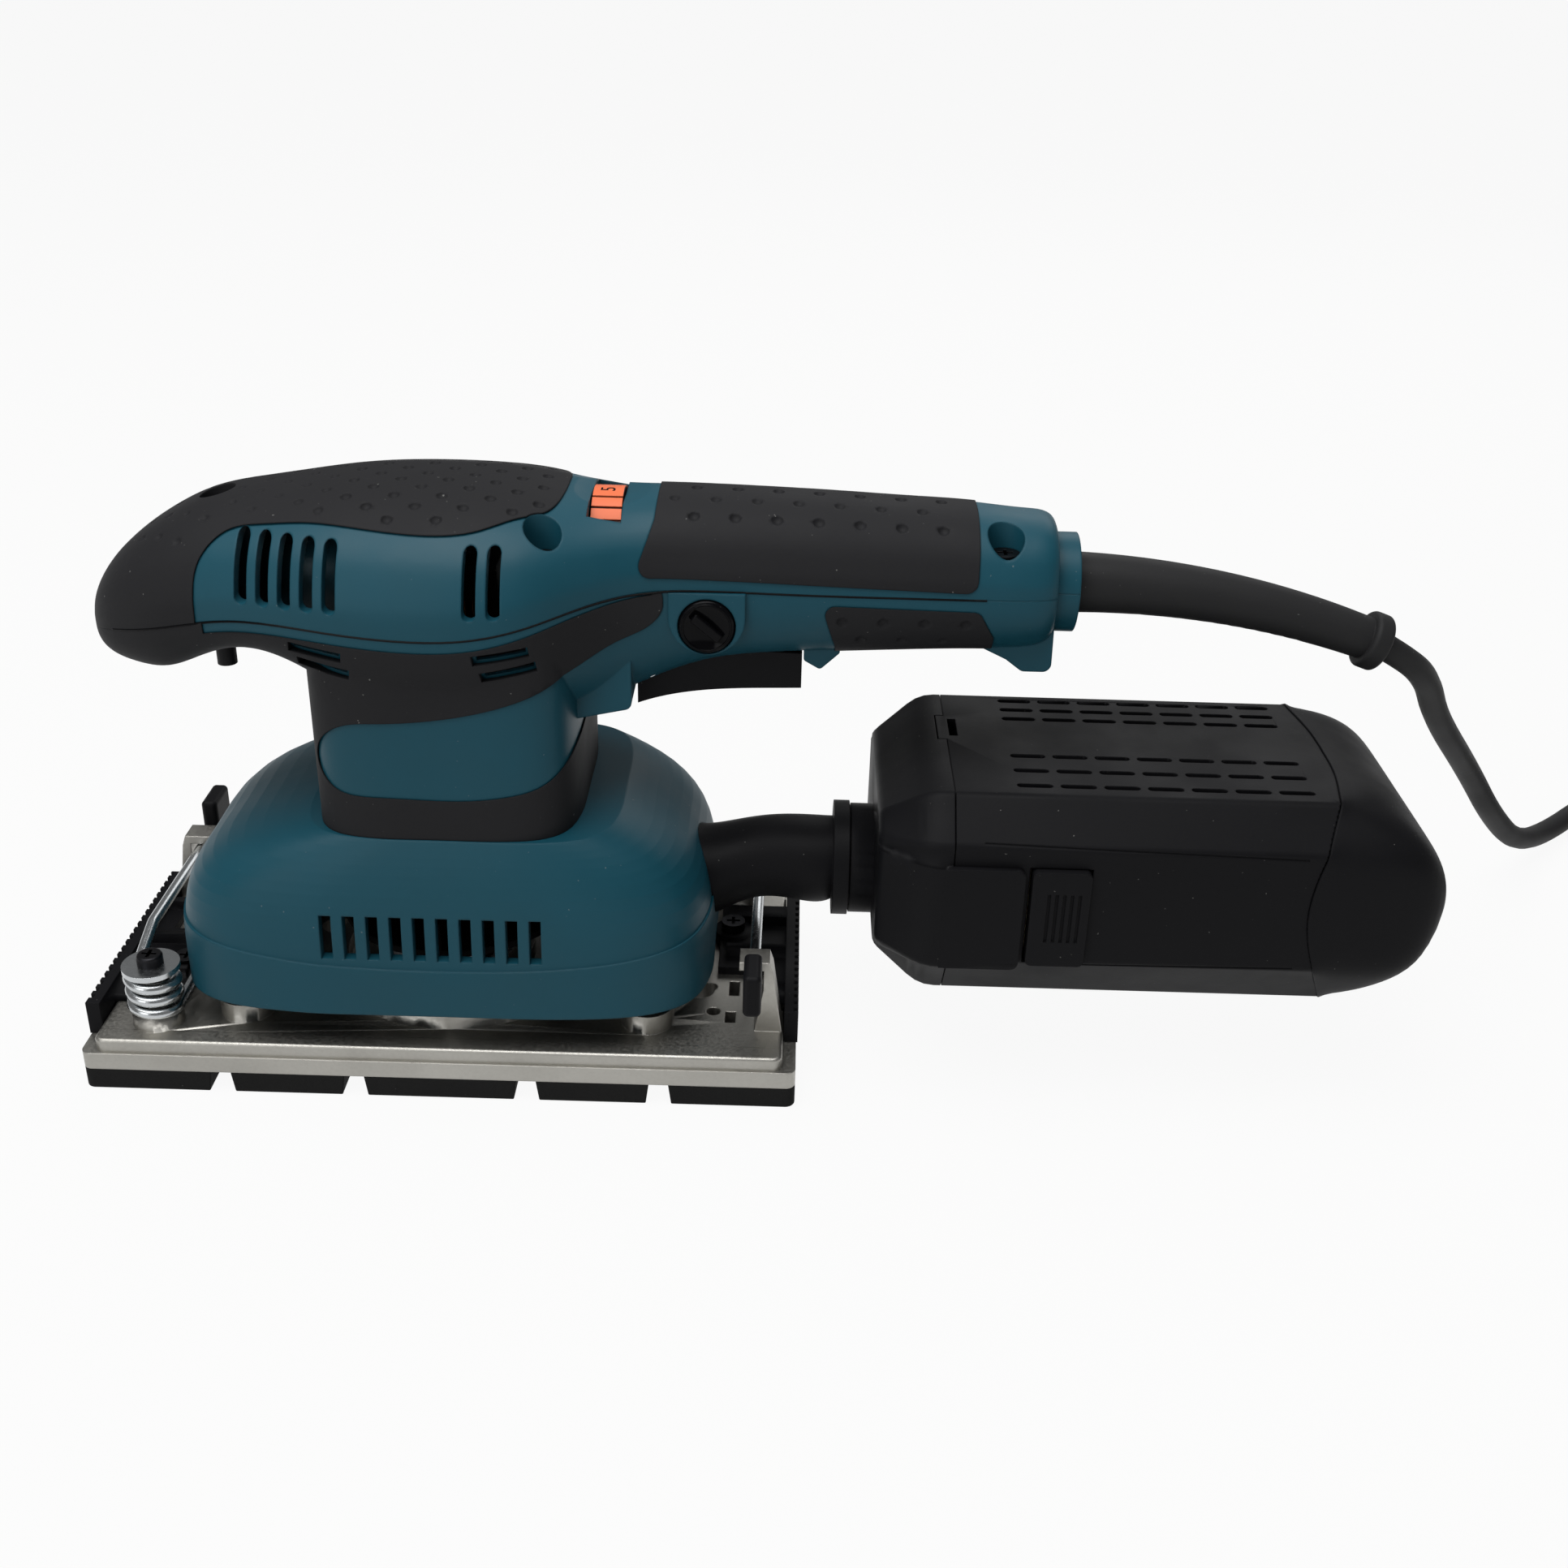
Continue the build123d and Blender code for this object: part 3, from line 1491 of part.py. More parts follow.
def box_tongue(gap=0):
    # Tongue of the box that reaches into the rim of the cover
    top = skirt_bottom + elbow_axis + box_top
    low, high = tongue_span
    return block(
        (box_seam - tongue_reach - gap, box_seam + 1), (low - gap, high + gap), (top - box_wall - gap, top)
    )


def make_dust_cover():
    axis = skirt_bottom + elbow_axis
    full = box_chamfer_end + cover_ease
    outer = cover_front(0, box_face, 3.0) + box_prism(0, full, box_seam - body_gap, 3.0)
    outer += rod(cover_collar_radius, (cover_collar_front, 0, axis), (box_face + 2, 0, axis))
    panel = cover_front(-arm_thickness, box_face, 3.0)
    outer += panel & block((box_face, full), (-60, 60), (axis + arm_low, axis + arm_high))
    outer -= cover_front(box_wall, box_face + box_wall, 2.4) + box_prism(box_wall, full, box_seam, 2.4)
    for side in (-1, 1):
        y_span = sorted((side * (box_half_width - 1), side * (box_half_width + arm_thickness)))
        arm = block((full - 0.5, arm_rear), y_span, (axis + arm_low, axis + arm_high))
        arm = fillet(arm.edges().filter_by(Axis.Y).sort_by(Axis.X)[-2:], 2.0)
        inner = sorted((side * (box_half_width - 2), side * (box_half_width + body_gap)))
        outer += arm - block((box_seam - body_gap, arm_rear + 1), inner, (axis - 60, axis + 60))
    outer -= box_tongue(body_gap)
    return outer - rod(spout_radius + body_gap, (cover_collar_front - 1, 0, axis), (spout_end + 1, 0, axis))


def make_filter():
    # Cloth bag on a frame that fits the box behind its rim
    front, rear = box_seam + box_rim_root + body_gap, box_nose_start - 6
    inset = box_wall + filter_room
    bag = box_prism(inset, front, rear, 4.0)
    bag += box_prism(box_wall + body_gap, front, front + filter_frame, 4.0)
    return bag - box_prism(inset + filter_wall, front, rear - filter_wall, 3.0)


# Mains lead
guard_start = handle_rear - 8.0
guard_turn = 2 * math.atan2(guard_drop, guard_length)
guard_bend = guard_length / math.sin(guard_turn)


def guard_place(share):
    # Point and heading of the guard's arc, which starts at the collar and bends down
    angle = guard_turn * share
    start = handle_rear + collar_length
    x = start + guard_bend * math.sin(angle)
    z = lead_axis - guard_bend * (1 - math.cos(angle))
    return Vector(x, 0, z), Vector(math.cos(angle), 0, -math.sin(angle))


def guard_root():
    return rod(guard_root_radius, (guard_start, 0, lead_axis), (handle_rear + collar_length, 0, lead_axis))


def make_cord_guard():
    wires = []
    for k in range(6):
        spot, heading = guard_place(k / 5)
        radius = guard_root_radius + (guard_tip_radius - guard_root_radius) * k / 5
        wires.append(Wire.make_circle(radius, Plane(origin=spot, z_dir=heading)))
    guard = guard_root() + Solid.make_loft(wires)
    tip, heading = guard_place(1)
    ring = rod(guard_ring_radius, tip - heading * guard_ring_width / 2, tip + heading * guard_ring_width / 2)
    guard += fillet(ring.edges().filter_by(GeomType.CIRCLE), 1.2)
    start, spot = cord_route()[:2]
    return guard - rod(cord_radius, start, spot)


def cord_route():
    tip, heading = guard_place(1)
    face = tip + heading * (guard_ring_width / 2)
    leave = Vector(0.857, 0.2, -0.479).normalized()
    return [
        face - leave * guard_bore,
        face + leave * (lead_run - guard_bore),
        Vector(254.5, 7.5, 103.9),
        Vector(264.8, 23.4, 86.3),
        Vector(289.0, 50.0, 57.0),
        Vector(307.0, 68.5, 33.0),
        Vector(326.0, 88.0, 13.0),
        Vector(347.0, 111.0, coil_floor),
        Vector(371.0, coil_join.Y, coil_floor),
        coil_join,
    ]


def bend_radii(route):
    radii = []
    for before, spot, after in zip(route, route[1:], route[2:]):
        first, second = spot - before, after - spot
        turn = math.radians(first.get_angle(second))
        radii.append(0.45 * min(first.length, second.length) / math.tan(turn / 2))
    return radii


coil_floor = cord_radius + tie_wall + 0.1
coil_rim = coil_inner_radius + coil_step * coil_layer_turns
coil_join = Vector(coil_centre_x - 2 * cord_radius, coil_centre_y + coil_rim, coil_floor)


def make_cord_lead():
    route = cord_route()
    radii = bend_radii(route)
    path = Wire(FilletPolyline(*route, radius=radii).edges())
    lead = swept_tube(path, cord_radius)
    print("lead bend radii:", ", ".join(f"{radius:.1f}" for radius in radii))
    print_tube("lead", lead, path, cord_radius)
    return lead


def coil_path():
    # Clockwise from above: in on the floor layer, up in one half turn, out on the upper layer
    inward = 4 * coil_layer_turns
    outward = inward - 1
    spots, headings = [], []
    for k in range(inward + 2 + outward + 1):
        angle = math.pi / 2 * (1 - k)
        out = Vector(math.cos(angle), math.sin(angle), 0)
        along = Vector(math.sin(angle), -math.cos(angle), 0)
        if k <= inward:
            radius, layer, drift = coil_rim - coil_step * k / 4, 0, -1
        elif k == inward + 1:
            radius, layer, drift = coil_inner_radius - coil_step / 4, 0.5, 0
        else:
            radius, layer, drift = coil_inner_radius + coil_step * (k - inward - 2) / 4, 1, 1
        if k in (0, inward + 2 + outward):
            drift = 0
        slope = out * (drift * coil_step / (2 * math.pi * radius))
        if k == inward + 1:
            slope = Vector(0, 0, coil_step / (math.pi * radius) * 1.5)
        height = Vector(0, 0, coil_floor + coil_step * layer)
        spots.append(Vector(coil_centre_x, coil_centre_y, 0) + out * radius + height)
        headings.append((along + slope).normalized())
    lead_in = Line(coil_join, spots[0]).edge()
    tail = Line(spots[-1], spots[-1] + headings[-1] * coil_tail).edge()
    return Wire([lead_in, *biarc_path(spots, headings), tail])


def make_cord_coil(path):
    coil = swept_tube(path, cord_radius)
    print_tube("coil", coil, path, cord_radius)
    print(f"coil: least gap {least_gap(path, cord_radius, 4 * coil_inner_radius, 1400):.2f} mm")
    return coil


def make_cord_tie():
    first = coil_inner_radius + coil_step / 4 - cord_radius - tie_slack
    last = coil_rim - coil_step * 3 / 4 + cord_radius + tie_slack
    low, high = tie_wall, coil_floor + coil_step + cord_radius + tie_slack
    left, right = coil_centre_x - last, coil_centre_x - first
    y_span = (coil_centre_y - tie_width / 2, coil_centre_y + tie_width / 2)
    band = block((left - tie_wall, right + tie_wall), y_span, (0, high + tie_wall))
    band = fillet(band.edges().filter_by(Axis.Y), 3.0)
    hole = block((left, right), y_span, (low, high))
    return band - fillet(hole.edges().filter_by(Axis.Y), 1.8)


def plug_frame(path):
    return path.position_at(1), path.tangent_at(1)


def make_plug_body(path):
    end, heading = plug_frame(path)
    radius = end.Z
    shoulder = end + heading * plug_neck_length
    plug = rod(plug_neck_radius, end, shoulder)
    grip = rod(radius, shoulder, shoulder + heading * (plug_length - plug_neck_length))
    plug += fillet(grip.edges().filter_by(GeomType.CIRCLE), 3.0)
    return plug - make_plug_pins(path)


def make_plug_pins(path):
    end, heading = plug_frame(path)
    root = end + heading * (plug_length - 8)
    tip = end + heading * (plug_length + pin_length)
    side = Vector(0, 0, 1).cross(heading) * (plug_pin_spacing / 2 - 4)
    return Compound([rod(plug_pin_radius, root + side * k, tip + side * k).solid() for k in (-1, 1)])


def pair(shape):
    return Compound([shape.solid(), half_turn(shape).solid()])


coil_line = coil_path()
front_lever = make_lever()
front_knob = make_knob(front_lever)
front_clamp = half_turn(make_rear_clamp())
nodes = {
    "sanding_pad": make_pad(),
    "base_plate": make_plate(),
    "rubber_feet": make_feet(),
    "pad_bearing": make_bearing(
        pad_bearing_radius, pin_radius + running_fit, bearing_seat, pad_bearing_width, 0
    ),
    "front_clamp": front_clamp,
    "rear_clamp": half_turn(front_clamp),
    "clamp_screws": pair(clamp_screw()),
    "lever_screws": pair(post_screw()),
    "lever_washers": pair(post_washer()),
    "front_lever": front_lever,
    "front_lever_knob": front_knob,
    "rear_lever": half_turn(front_lever),
    "rear_lever_knob": half_turn(front_knob),
    "skirt": make_skirt(),
    "skirt_screws": make_skirt_screws(),
    "dust_elbow": make_elbow(),
    "lower_housing": make_lower_housing(),
    "neck_sleeve": make_neck_sleeve(),
    "lower_grip": make_lower_grip(),
    "upper_shell": make_upper_shell(),
    "top_grip": make_top_grip(),
    "handle_grip": make_handle_grip(),
    "shell_screws": make_shell_screws(),
    "armature_shaft": make_shaft(),
    "pad_bolt": make_pad_bolt(),
    "balance_weight": make_balance_weight(),
    "cooling_fan": make_fan(),
    "rotor_core": make_rotor_core(),
    "rotor_windings": make_rotor_windings(),
    "commutator": make_commutator(),
    "lower_bearing": make_bearing(
        lower_bearing_radius, shaft_radius + running_fit, lower_bearing_low, lower_bearing_width, motor_x
    ),
    "upper_bearing": make_bearing(
        upper_bearing_radius, shaft_radius + running_fit, upper_bearing_low, upper_bearing_width, motor_x
    ),
    "stator_core": make_stator_core(),
    "stator_coils": Compound([coil.solid() for coil in stator_coils()]),
    "bearing_bracket": make_bearing_bracket(),
    "brush_holders": make_brush_holders(),
    "carbon_brushes": make_brushes(),
    "brush_springs": make_brush_springs(),
    "speed_controller": make_speed_controller(),
    "speed_dial": make_speed_dial(),
    "switch_body": make_switch_body(),
    "trigger": make_trigger(),
    "trigger_pin": make_trigger_pin(),
    "trigger_spring": make_trigger_spring(),
    "lock_button": make_lock_button(),
    "lock_spring": make_lock_spring(),
    "dust_cover": make_dust_cover(),
    "dust_box": make_dust_box(),
    "dust_filter": make_filter(),
    "near_latch": make_latch(-1),
    "far_latch": make_latch(1),
    "inner_lead": inner_lead_space(),
    "cord_clamp": make_cord_clamp(),
    "cord_guard": make_cord_guard(),
    "cord_lead": make_cord_lead(),
    "cord_coil": make_cord_coil(coil_line),
    "cord_tie": make_cord_tie(),
    "plug_body": make_plug_body(coil_line),
    "plug_pins": make_plug_pins(coil_line),
}
for name, shape in nodes.items():
    save(name, shape)
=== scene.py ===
import json
import math

import bmesh
import bpy
from mathutils import Matrix, Vector
from mathutils.bvhtree import BVHTree


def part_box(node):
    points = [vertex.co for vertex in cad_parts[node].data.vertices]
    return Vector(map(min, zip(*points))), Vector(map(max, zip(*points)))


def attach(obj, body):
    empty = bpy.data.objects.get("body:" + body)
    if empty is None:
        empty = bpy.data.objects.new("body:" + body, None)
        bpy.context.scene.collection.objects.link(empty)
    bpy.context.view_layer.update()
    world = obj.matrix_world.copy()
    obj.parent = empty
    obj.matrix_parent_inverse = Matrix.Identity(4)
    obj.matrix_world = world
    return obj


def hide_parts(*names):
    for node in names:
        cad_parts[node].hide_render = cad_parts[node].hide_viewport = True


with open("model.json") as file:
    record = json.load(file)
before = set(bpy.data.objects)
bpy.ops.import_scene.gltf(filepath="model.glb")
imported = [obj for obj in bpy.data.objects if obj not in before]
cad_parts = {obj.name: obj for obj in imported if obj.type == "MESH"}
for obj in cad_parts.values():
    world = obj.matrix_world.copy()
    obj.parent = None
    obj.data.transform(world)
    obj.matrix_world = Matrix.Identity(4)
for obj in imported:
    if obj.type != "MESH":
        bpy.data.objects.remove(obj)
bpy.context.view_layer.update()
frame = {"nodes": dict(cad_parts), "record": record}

mm = 0.001
scene = bpy.context.scene
nodes = frame["nodes"]
record = frame["record"]
slotOf = {part["node"]: part["material_slot"] for part in record["subparts"]}
print("frame loaded:", len(nodes), "nodes")


def addObject(name, data):
    thing = bpy.data.objects.new(name, data)
    scene.collection.objects.link(thing)
    return thing


def settledMesh(thing):  # the mesh that its modifiers or its curve come to
    bpy.context.view_layer.update()
    return bpy.data.meshes.new_from_object(thing.evaluated_get(bpy.context.evaluated_depsgraph_get()))


# camera
cameraView = {
    "place": (87.865, -412.306, 280.716),  # mm
    "right": (0.99958, 0.014083, 0.025316),
    "up": (-0.028949, 0.452722, 0.891181),
    "lens": 39.93,
    "sensor": 36.0,
    "clip": (0.01, 50.0),  # metres
}


def placeCamera(view):
    right, up = Vector(view["right"]), Vector(view["up"])
    back = right.cross(up)
    turn = Matrix((right, up, back)).transposed().to_4x4()
    data = bpy.data.cameras.new("camera")
    data.lens = view["lens"]
    data.sensor_width = view["sensor"]
    data.clip_start, data.clip_end = view["clip"]
    camera = addObject("camera", data)
    camera.matrix_world = Matrix.Translation(Vector(view["place"]) * mm) @ turn
    scene.camera = camera


placeCamera(cameraView)
print("camera placed")


# materials
def linear(hexText):
    steps = []
    for k in (0, 2, 4):
        share = int(hexText[k : k + 2], 16) / 255
        steps.append(share / 12.92 if share <= 0.04045 else ((share + 0.055) / 1.055) ** 2.4)
    return (*steps, 1.0)


def addNode(tree, kind, settings, sockets):
    node = tree.nodes.new("ShaderNode" + kind)
    for name, value in settings.items():
        setattr(node, name, value)
    for name, value in sockets.items():
        socket = node.inputs[name]
        if isinstance(value, bpy.types.NodeSocket):
            tree.links.new(value, socket)
        else:
            socket.default_value = value
    return node


def startMaterial(name):
    material = bpy.data.materials.new(name)
    material.use_nodes = True
    tree = material.node_tree
    tree.nodes.clear()
    shader = addNode(tree, "BsdfPrincipled", {}, {})
    addNode(tree, "OutputMaterial", {}, {"Surface": shader.outputs["BSDF"]})
    place = addNode(tree, "TexCoord", {}, {}).outputs["Object"]
    return material, tree, shader, place


def perMetre(sizeMm):  # pattern scale for a feature of this size
    return 1 / (sizeMm * mm)


def finishSurface(tree, shader, look, tone, glossFrom, grain):  # gloss, softened edges and grain
    gloss = addNode(tree, "MapRange", {}, {
        "Value": glossFrom.outputs["Fac"], "From Min": 0.3, "From Max": 0.7,
        "To Min": look["roughness"][0], "To Max": look["roughness"][1]})
    edge = addNode(tree, "Bevel", {"samples": 4}, {"Radius": look["edgeMm"] * mm})
    bump = addNode(tree, "Bump", {}, {
        "Height": grain.outputs["Fac"], "Strength": look["grainStrength"],
        "Distance": look["grainDepthMm"] * mm, "Normal": edge.outputs["Normal"]})
    for socket, source in (
        ("Base Color", tone.outputs["Result"]),
        ("Roughness", gloss.outputs["Result"]),
        ("Normal", bump.outputs["Normal"]),
    ):
        tree.links.new(source, shader.inputs[socket])


def mouldedSurface(name, look):
    # Spark-eroded mould grain, slow cloudy changes of tone and gloss, softened edges, a little dust
    material, tree, shader, place = startMaterial(name)
    grain = addNode(tree, "TexNoise", {}, {
        "Vector": place, "Scale": perMetre(look["grainMm"]), "Detail": 2.0, "Roughness": 0.6})
    cloud = addNode(tree, "TexNoise", {}, {
        "Vector": place, "Scale": perMetre(look["cloudMm"]), "Detail": 4.0, "Roughness": 0.55})
    speck = addNode(tree, "TexNoise", {}, {
        "Vector": place, "Scale": perMetre(look["speckMm"]), "Detail": 1.0})
    dust = addNode(tree, "MapRange", {"clamp": True}, {
        "Value": speck.outputs["Fac"], "From Min": look["speckFrom"],
        "From Max": look["speckFrom"] + look["speckEdge"], "To Min": 0.0, "To Max": look["speckShare"]})
    tone = addNode(tree, "Mix", {"data_type": "RGBA"}, {
        "Factor": cloud.outputs["Fac"], "A": linear(look["colour"]), "B": linear(look["cloudColour"])})
    dusty = addNode(tree, "Mix", {"data_type": "RGBA"}, {
        "Factor": dust.outputs["Result"], "A": tone.outputs["Result"], "B": linear(look["dustColour"])})
    finishSurface(tree, shader, look, dusty, cloud, grain)
    shader.inputs["IOR"].default_value = look["ior"]
    shader.inputs["Specular IOR Level"].default_value = look["specular"]
    return material


def metalSurface(name, look):
    # Bare metal: tone and gloss drift with the grain of the casting, wire or cut
    material, tree, shader, place = startMaterial(name)
    stretched = addNode(tree, "Mapping", {}, {"Vector": place, "Scale": look["stretch"]})
    grain = addNode(tree, "TexNoise", {}, {
        "Vector": stretched.outputs["Vector"], "Scale": perMetre(look["grainMm"]), "Detail": 3.0})
    cloud = addNode(tree, "TexNoise", {}, {
        "Vector": place, "Scale": perMetre(look["cloudMm"]), "Detail": 3.0})
    tone = addNode(tree, "Mix", {"data_type": "RGBA"}, {
        "Factor": cloud.outputs["Fac"], "A": linear(look["colour"]), "B": linear(look["cloudColour"])})
    finishSurface(tree, shader, look, tone, grain, grain)
    shader.inputs["Metallic"].default_value = 1.0
    return material


mouldedBase = {  # satin ABS with a fine mould grain, drawn at 0.7 mm so that it shows
    "grainMm": 0.7, "grainStrength": 0.25, "grainDepthMm": 0.05, "cloudMm": 24.0,
    "speckMm": 0.9, "speckFrom": 0.79, "speckEdge": 0.04, "speckShare": 0.2, "dustColour": "b9b9b4",
    "edgeMm": 0.5, "ior": 1.54, "specular": 0.22,
}
rubberBase = {  # elastomer from a blasted mould: duller, and it holds more dust
    **mouldedBase, "grainMm": 0.8, "grainStrength": 0.35, "speckFrom": 0.78, "speckShare": 0.25,
    "specular": 0.13,
}
castBase = {  # skin of a casting or a cut stack, drawn at 0.9 mm so that it shows
    "stretch": (1.0, 1.0, 1.0), "grainMm": 0.9, "grainStrength": 0.35, "grainDepthMm": 0.06,
    "cloudMm": 14.0, "edgeMm": 0.5,
}
wireBase = {  # drawn, plated or ground metal, nearly smooth
    **castBase, "grainMm": 1.6, "grainStrength": 0.1, "grainDepthMm": 0.02, "edgeMm": 0.15,
}

looks = {
    "teal_plastic": (mouldedSurface, "tealAbs", {  # moulded ABS: even satin, broad soft lights
        **mouldedBase, "colour": "10414e", "cloudColour": "154857", "roughness": (0.4, 0.52), "edgeMm": 0.7,
        "specular": 0.18}),
    "soft_grip": (mouldedSurface, "gripElastomer", {  # overmoulded soft rubber: matt, hardly any light on it
        **rubberBase, "colour": "1c1c1e", "cloudColour": "222224", "roughness": (0.6, 0.72)}),
    "black_plastic": (mouldedSurface, "blackNylon", {  # glass-filled nylon: fine grain, dull sheen
        **mouldedBase, "colour": "0f0f11", "cloudColour": "151517", "roughness": (0.42, 0.56),
        "grainStrength": 0.3, "specular": 0.07}),
    "gloss_black": (mouldedSurface, "polishedBlackAbs", {  # from a polished mould: small sharp lights
        **mouldedBase, "colour": "060608", "cloudColour": "08080a", "roughness": (0.08, 0.14),
        "grainStrength": 0.02, "speckShare": 0.05, "specular": 0.07}),
    "orange_plastic": (mouldedSurface, "orangeAcetal", {  # self-coloured acetal: waxy satin
        **mouldedBase, "colour": "dc6a42", "cloudColour": "e3744b", "roughness": (0.35, 0.45),
        "speckShare": 0.05, "edgeMm": 0.25}),
    "cord_rubber": (mouldedSurface, "cordRubber", {  # extruded rubber sheath: matt with a long soft light
        **rubberBase, "colour": "1f1f20", "cloudColour": "272728", "roughness": (0.5, 0.64),
        "speckShare": 0.15}),
    "pad_rubber": (mouldedSurface, "spongeRubber", {  # open-cell sponge: no gloss, rough to the eye
        **rubberBase, "colour": "171717", "cloudColour": "1d1d1d", "roughness": (0.8, 0.92),
        "grainMm": 1.1, "grainStrength": 0.8, "grainDepthMm": 0.2}),
    "carbon": (mouldedSurface, "pressedCarbon", {  # pressed graphite: grey-black, slight sheen
        **mouldedBase, "colour": "242424", "cloudColour": "2c2c2c", "roughness": (0.5, 0.6)}),
    "filter_cloth": (mouldedSurface, "filterCloth", {  # woven cloth: no gloss, a soft nap
        **rubberBase, "colour": "a39b86", "cloudColour": "b0a893", "roughness": (0.85, 0.95),
        "grainMm": 0.6, "grainStrength": 0.8}),
    "cast_aluminium": (metalSurface, "castAluminium", {  # as-cast skin, brushed over: cloudy satin grey
        **castBase, "colour": "9c9a94", "cloudColour": "b0aea8", "roughness": (0.36, 0.5)}),
    "zinc_steel": (metalSurface, "zincPlatedSteel", {  # bright zinc on drawn wire: clear lights
        **wireBase, "colour": "b9bdc0", "cloudColour": "c9cccd", "roughness": (0.2, 0.3)}),
    "black_steel": (metalSurface, "blackOxideSteel", {  # oiled black oxide: dark with a dull metal light
        **wireBase, "colour": "242426", "cloudColour": "2e2e31", "roughness": (0.38, 0.48)}),
    "bearing_steel": (metalSurface, "groundSteel", {  # ground and hardened: even bright grey
        **wireBase, "colour": "b4b6b9", "cloudColour": "c0c2c4", "roughness": (0.22, 0.32)}),
    "lamination_steel": (metalSurface, "laminatedSteel", {  # stacked sheets: fine level lines
        **castBase, "colour": "77787b", "cloudColour": "838487", "roughness": (0.4, 0.5),
        "stretch": (0.2, 0.2, 6.0)}),
    "zinc_casting": (metalSurface, "zincCasting", {  # rough die casting: flat mid grey
        **castBase, "colour": "85868a", "cloudColour": "96979a", "roughness": (0.45, 0.6)}),
    "copper": (metalSurface, "enamelledCopper", {  # wound enamelled wire: warm with upright lines
        **castBase, "colour": "a9663c", "cloudColour": "bb7647", "roughness": (0.3, 0.4),
        "stretch": (4.0, 4.0, 0.5)}),
    "brass_pins": (metalSurface, "nickelledBrass", {  # plated pins: bright, slightly warm
        **wireBase, "colour": "c9c3b2", "cloudColour": "d3cdbc", "roughness": (0.18, 0.28)}),
}
materials = {slot: make(name, look) for slot, (make, name, look) in looks.items()}


dialGroove = {"depth": 0.45, "shade": "3a1408"}


def paintGrooves(material, middle, radius, look):
    # Shade that gathers in the grooves of the dial, told from the rim by the reach from its axle
    depth = look["depth"] * mm
    tree = material.node_tree
    shader = next(node for node in tree.nodes if node.type == "BSDF_PRINCIPLED")
    place = addNode(tree, "TexCoord", {}, {}).outputs["Object"]
    centred = addNode(tree, "VectorMath", {"operation": "SUBTRACT"}, {0: place, 1: middle})
    across = addNode(tree, "VectorMath", {"operation": "MULTIPLY"}, {0: centred.outputs[0], 1: (0, 1, 1)})
    reach = addNode(tree, "VectorMath", {"operation": "LENGTH"}, {0: across.outputs[0]})
    sunk = addNode(tree, "MapRange", {}, {
        "Value": reach.outputs["Value"], "From Min": radius - depth, "From Max": radius - depth / 3,
        "To Min": 1.0, "To Max": 0.0})
    paint = shader.inputs["Base Color"].links[0].from_socket
    mixed = addNode(tree, "Mix", {"data_type": "RGBA"}, {
        "Factor": sunk.outputs["Result"], "A": paint, "B": linear(look["shade"])})
    tree.links.new(mixed.outputs["Result"], shader.inputs["Base Color"])


low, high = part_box("speed_dial")
paintGrooves(materials["orange_plastic"], (low + high) / 2, (high.z - low.z) / 2, dialGroove)
for nodeName, node in nodes.items():
    node.data.materials.clear()
    node.data.materials.append(materials[slotOf[nodeName]])
print("materials made:", len(materials))


# mains lead: the route of the free stretch, then the coil beside the tool
lead = {
    "diameter": 7.0,
    "route": (
        (232.82, -1.2, 118.92), (244.79, 1.6, 112.23), (254.5, 7.5, 103.9), (264.8, 23.4, 86.3),
        (289.0, 50.0, 57.0), (307.0, 68.5, 33.0), (326.0, 88.0, 13.0), (347.0, 111.0, 5.0),
        (371.0, 135.1, 5.0), (405.0, 135.1, 5.0),
    ),
    "coilCentre": (412.0, 80.0),
    "coilFloor": 5.0,
    "coilStep": 7.7,
    "coilInner": 32.0,
    "layerTurns": 3,
    "pointsPerTurn": 16,
    "tail": 42.0,
    "length": 1971.0,
}


def coilPoints(look):
    # Clockwise from above: in on the floor, up in half a turn, out on top, and off to the plug
    perQuarter = look["pointsPerTurn"] // 4
    inward = 4 * look["layerTurns"]
    last = 2 * inward + 1
    rim = look["coilInner"] + look["coilStep"] * look["layerTurns"]
    spread = 2 / (1 + math.cos(math.pi / look["pointsPerTurn"]))  # the line cuts inside its points
    points = []
    for k in range(last * perQuarter + 1):
        quarter = k / perQuarter
        climb = min(max((quarter - inward) / 2, 0), 1)
        radius = rim - look["coilStep"] * quarter / 4
        if quarter > inward:
            radius = look["coilInner"] - look["coilStep"] / 4 * math.sin(math.pi * climb)
        if quarter > inward + 2:
            radius = look["coilInner"] + look["coilStep"] * (quarter - inward - 2) / 4
        angle = math.pi / 2 * (1 - quarter)
        smooth = climb * climb * (3 - 2 * climb)
        points.append((
            look["coilCentre"][0] + radius * spread * math.cos(angle),
            look["coilCentre"][1] + radius * spread * math.sin(angle),
            look["coilFloor"] + look["coilStep"] * smooth,
        ))
    end = points[-1]
    straight = [(end[0], end[1] - look["tail"] * share, end[2]) for share in (0.5, 1.0)]
    return points + straight


def layLead(look):
    points = [*look["route"], *coilPoints(look)]
    curve = bpy.data.curves.new("mainsLead", "CURVE")
    curve.dimensions = "3D"
    curve.bevel_depth = look["diameter"] / 2 * mm
    curve.bevel_resolution = 5
    curve.resolution_u = 6
    line = curve.splines.new("NURBS")
    line.points.add(len(points) - 1)
    for point, place in zip(line.points, points):
        point.co = (*(Vector(place) * mm), 1.0)
    line.order_u = 3
    line.use_endpoint_u = True
    curve.materials.append(materials["cord_rubber"])
    piece = addObject("mainsLead", curve)
    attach(piece, "housing")
    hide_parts("cord_lead", "cord_coil")


# pieces that carry finer shapes than the solids they stand for
weld = {"node": 0.002, "form": 0.001}  # mm
rayFrom = {"top": 200.0, "side": 80.0}  # mm, clear of the tool


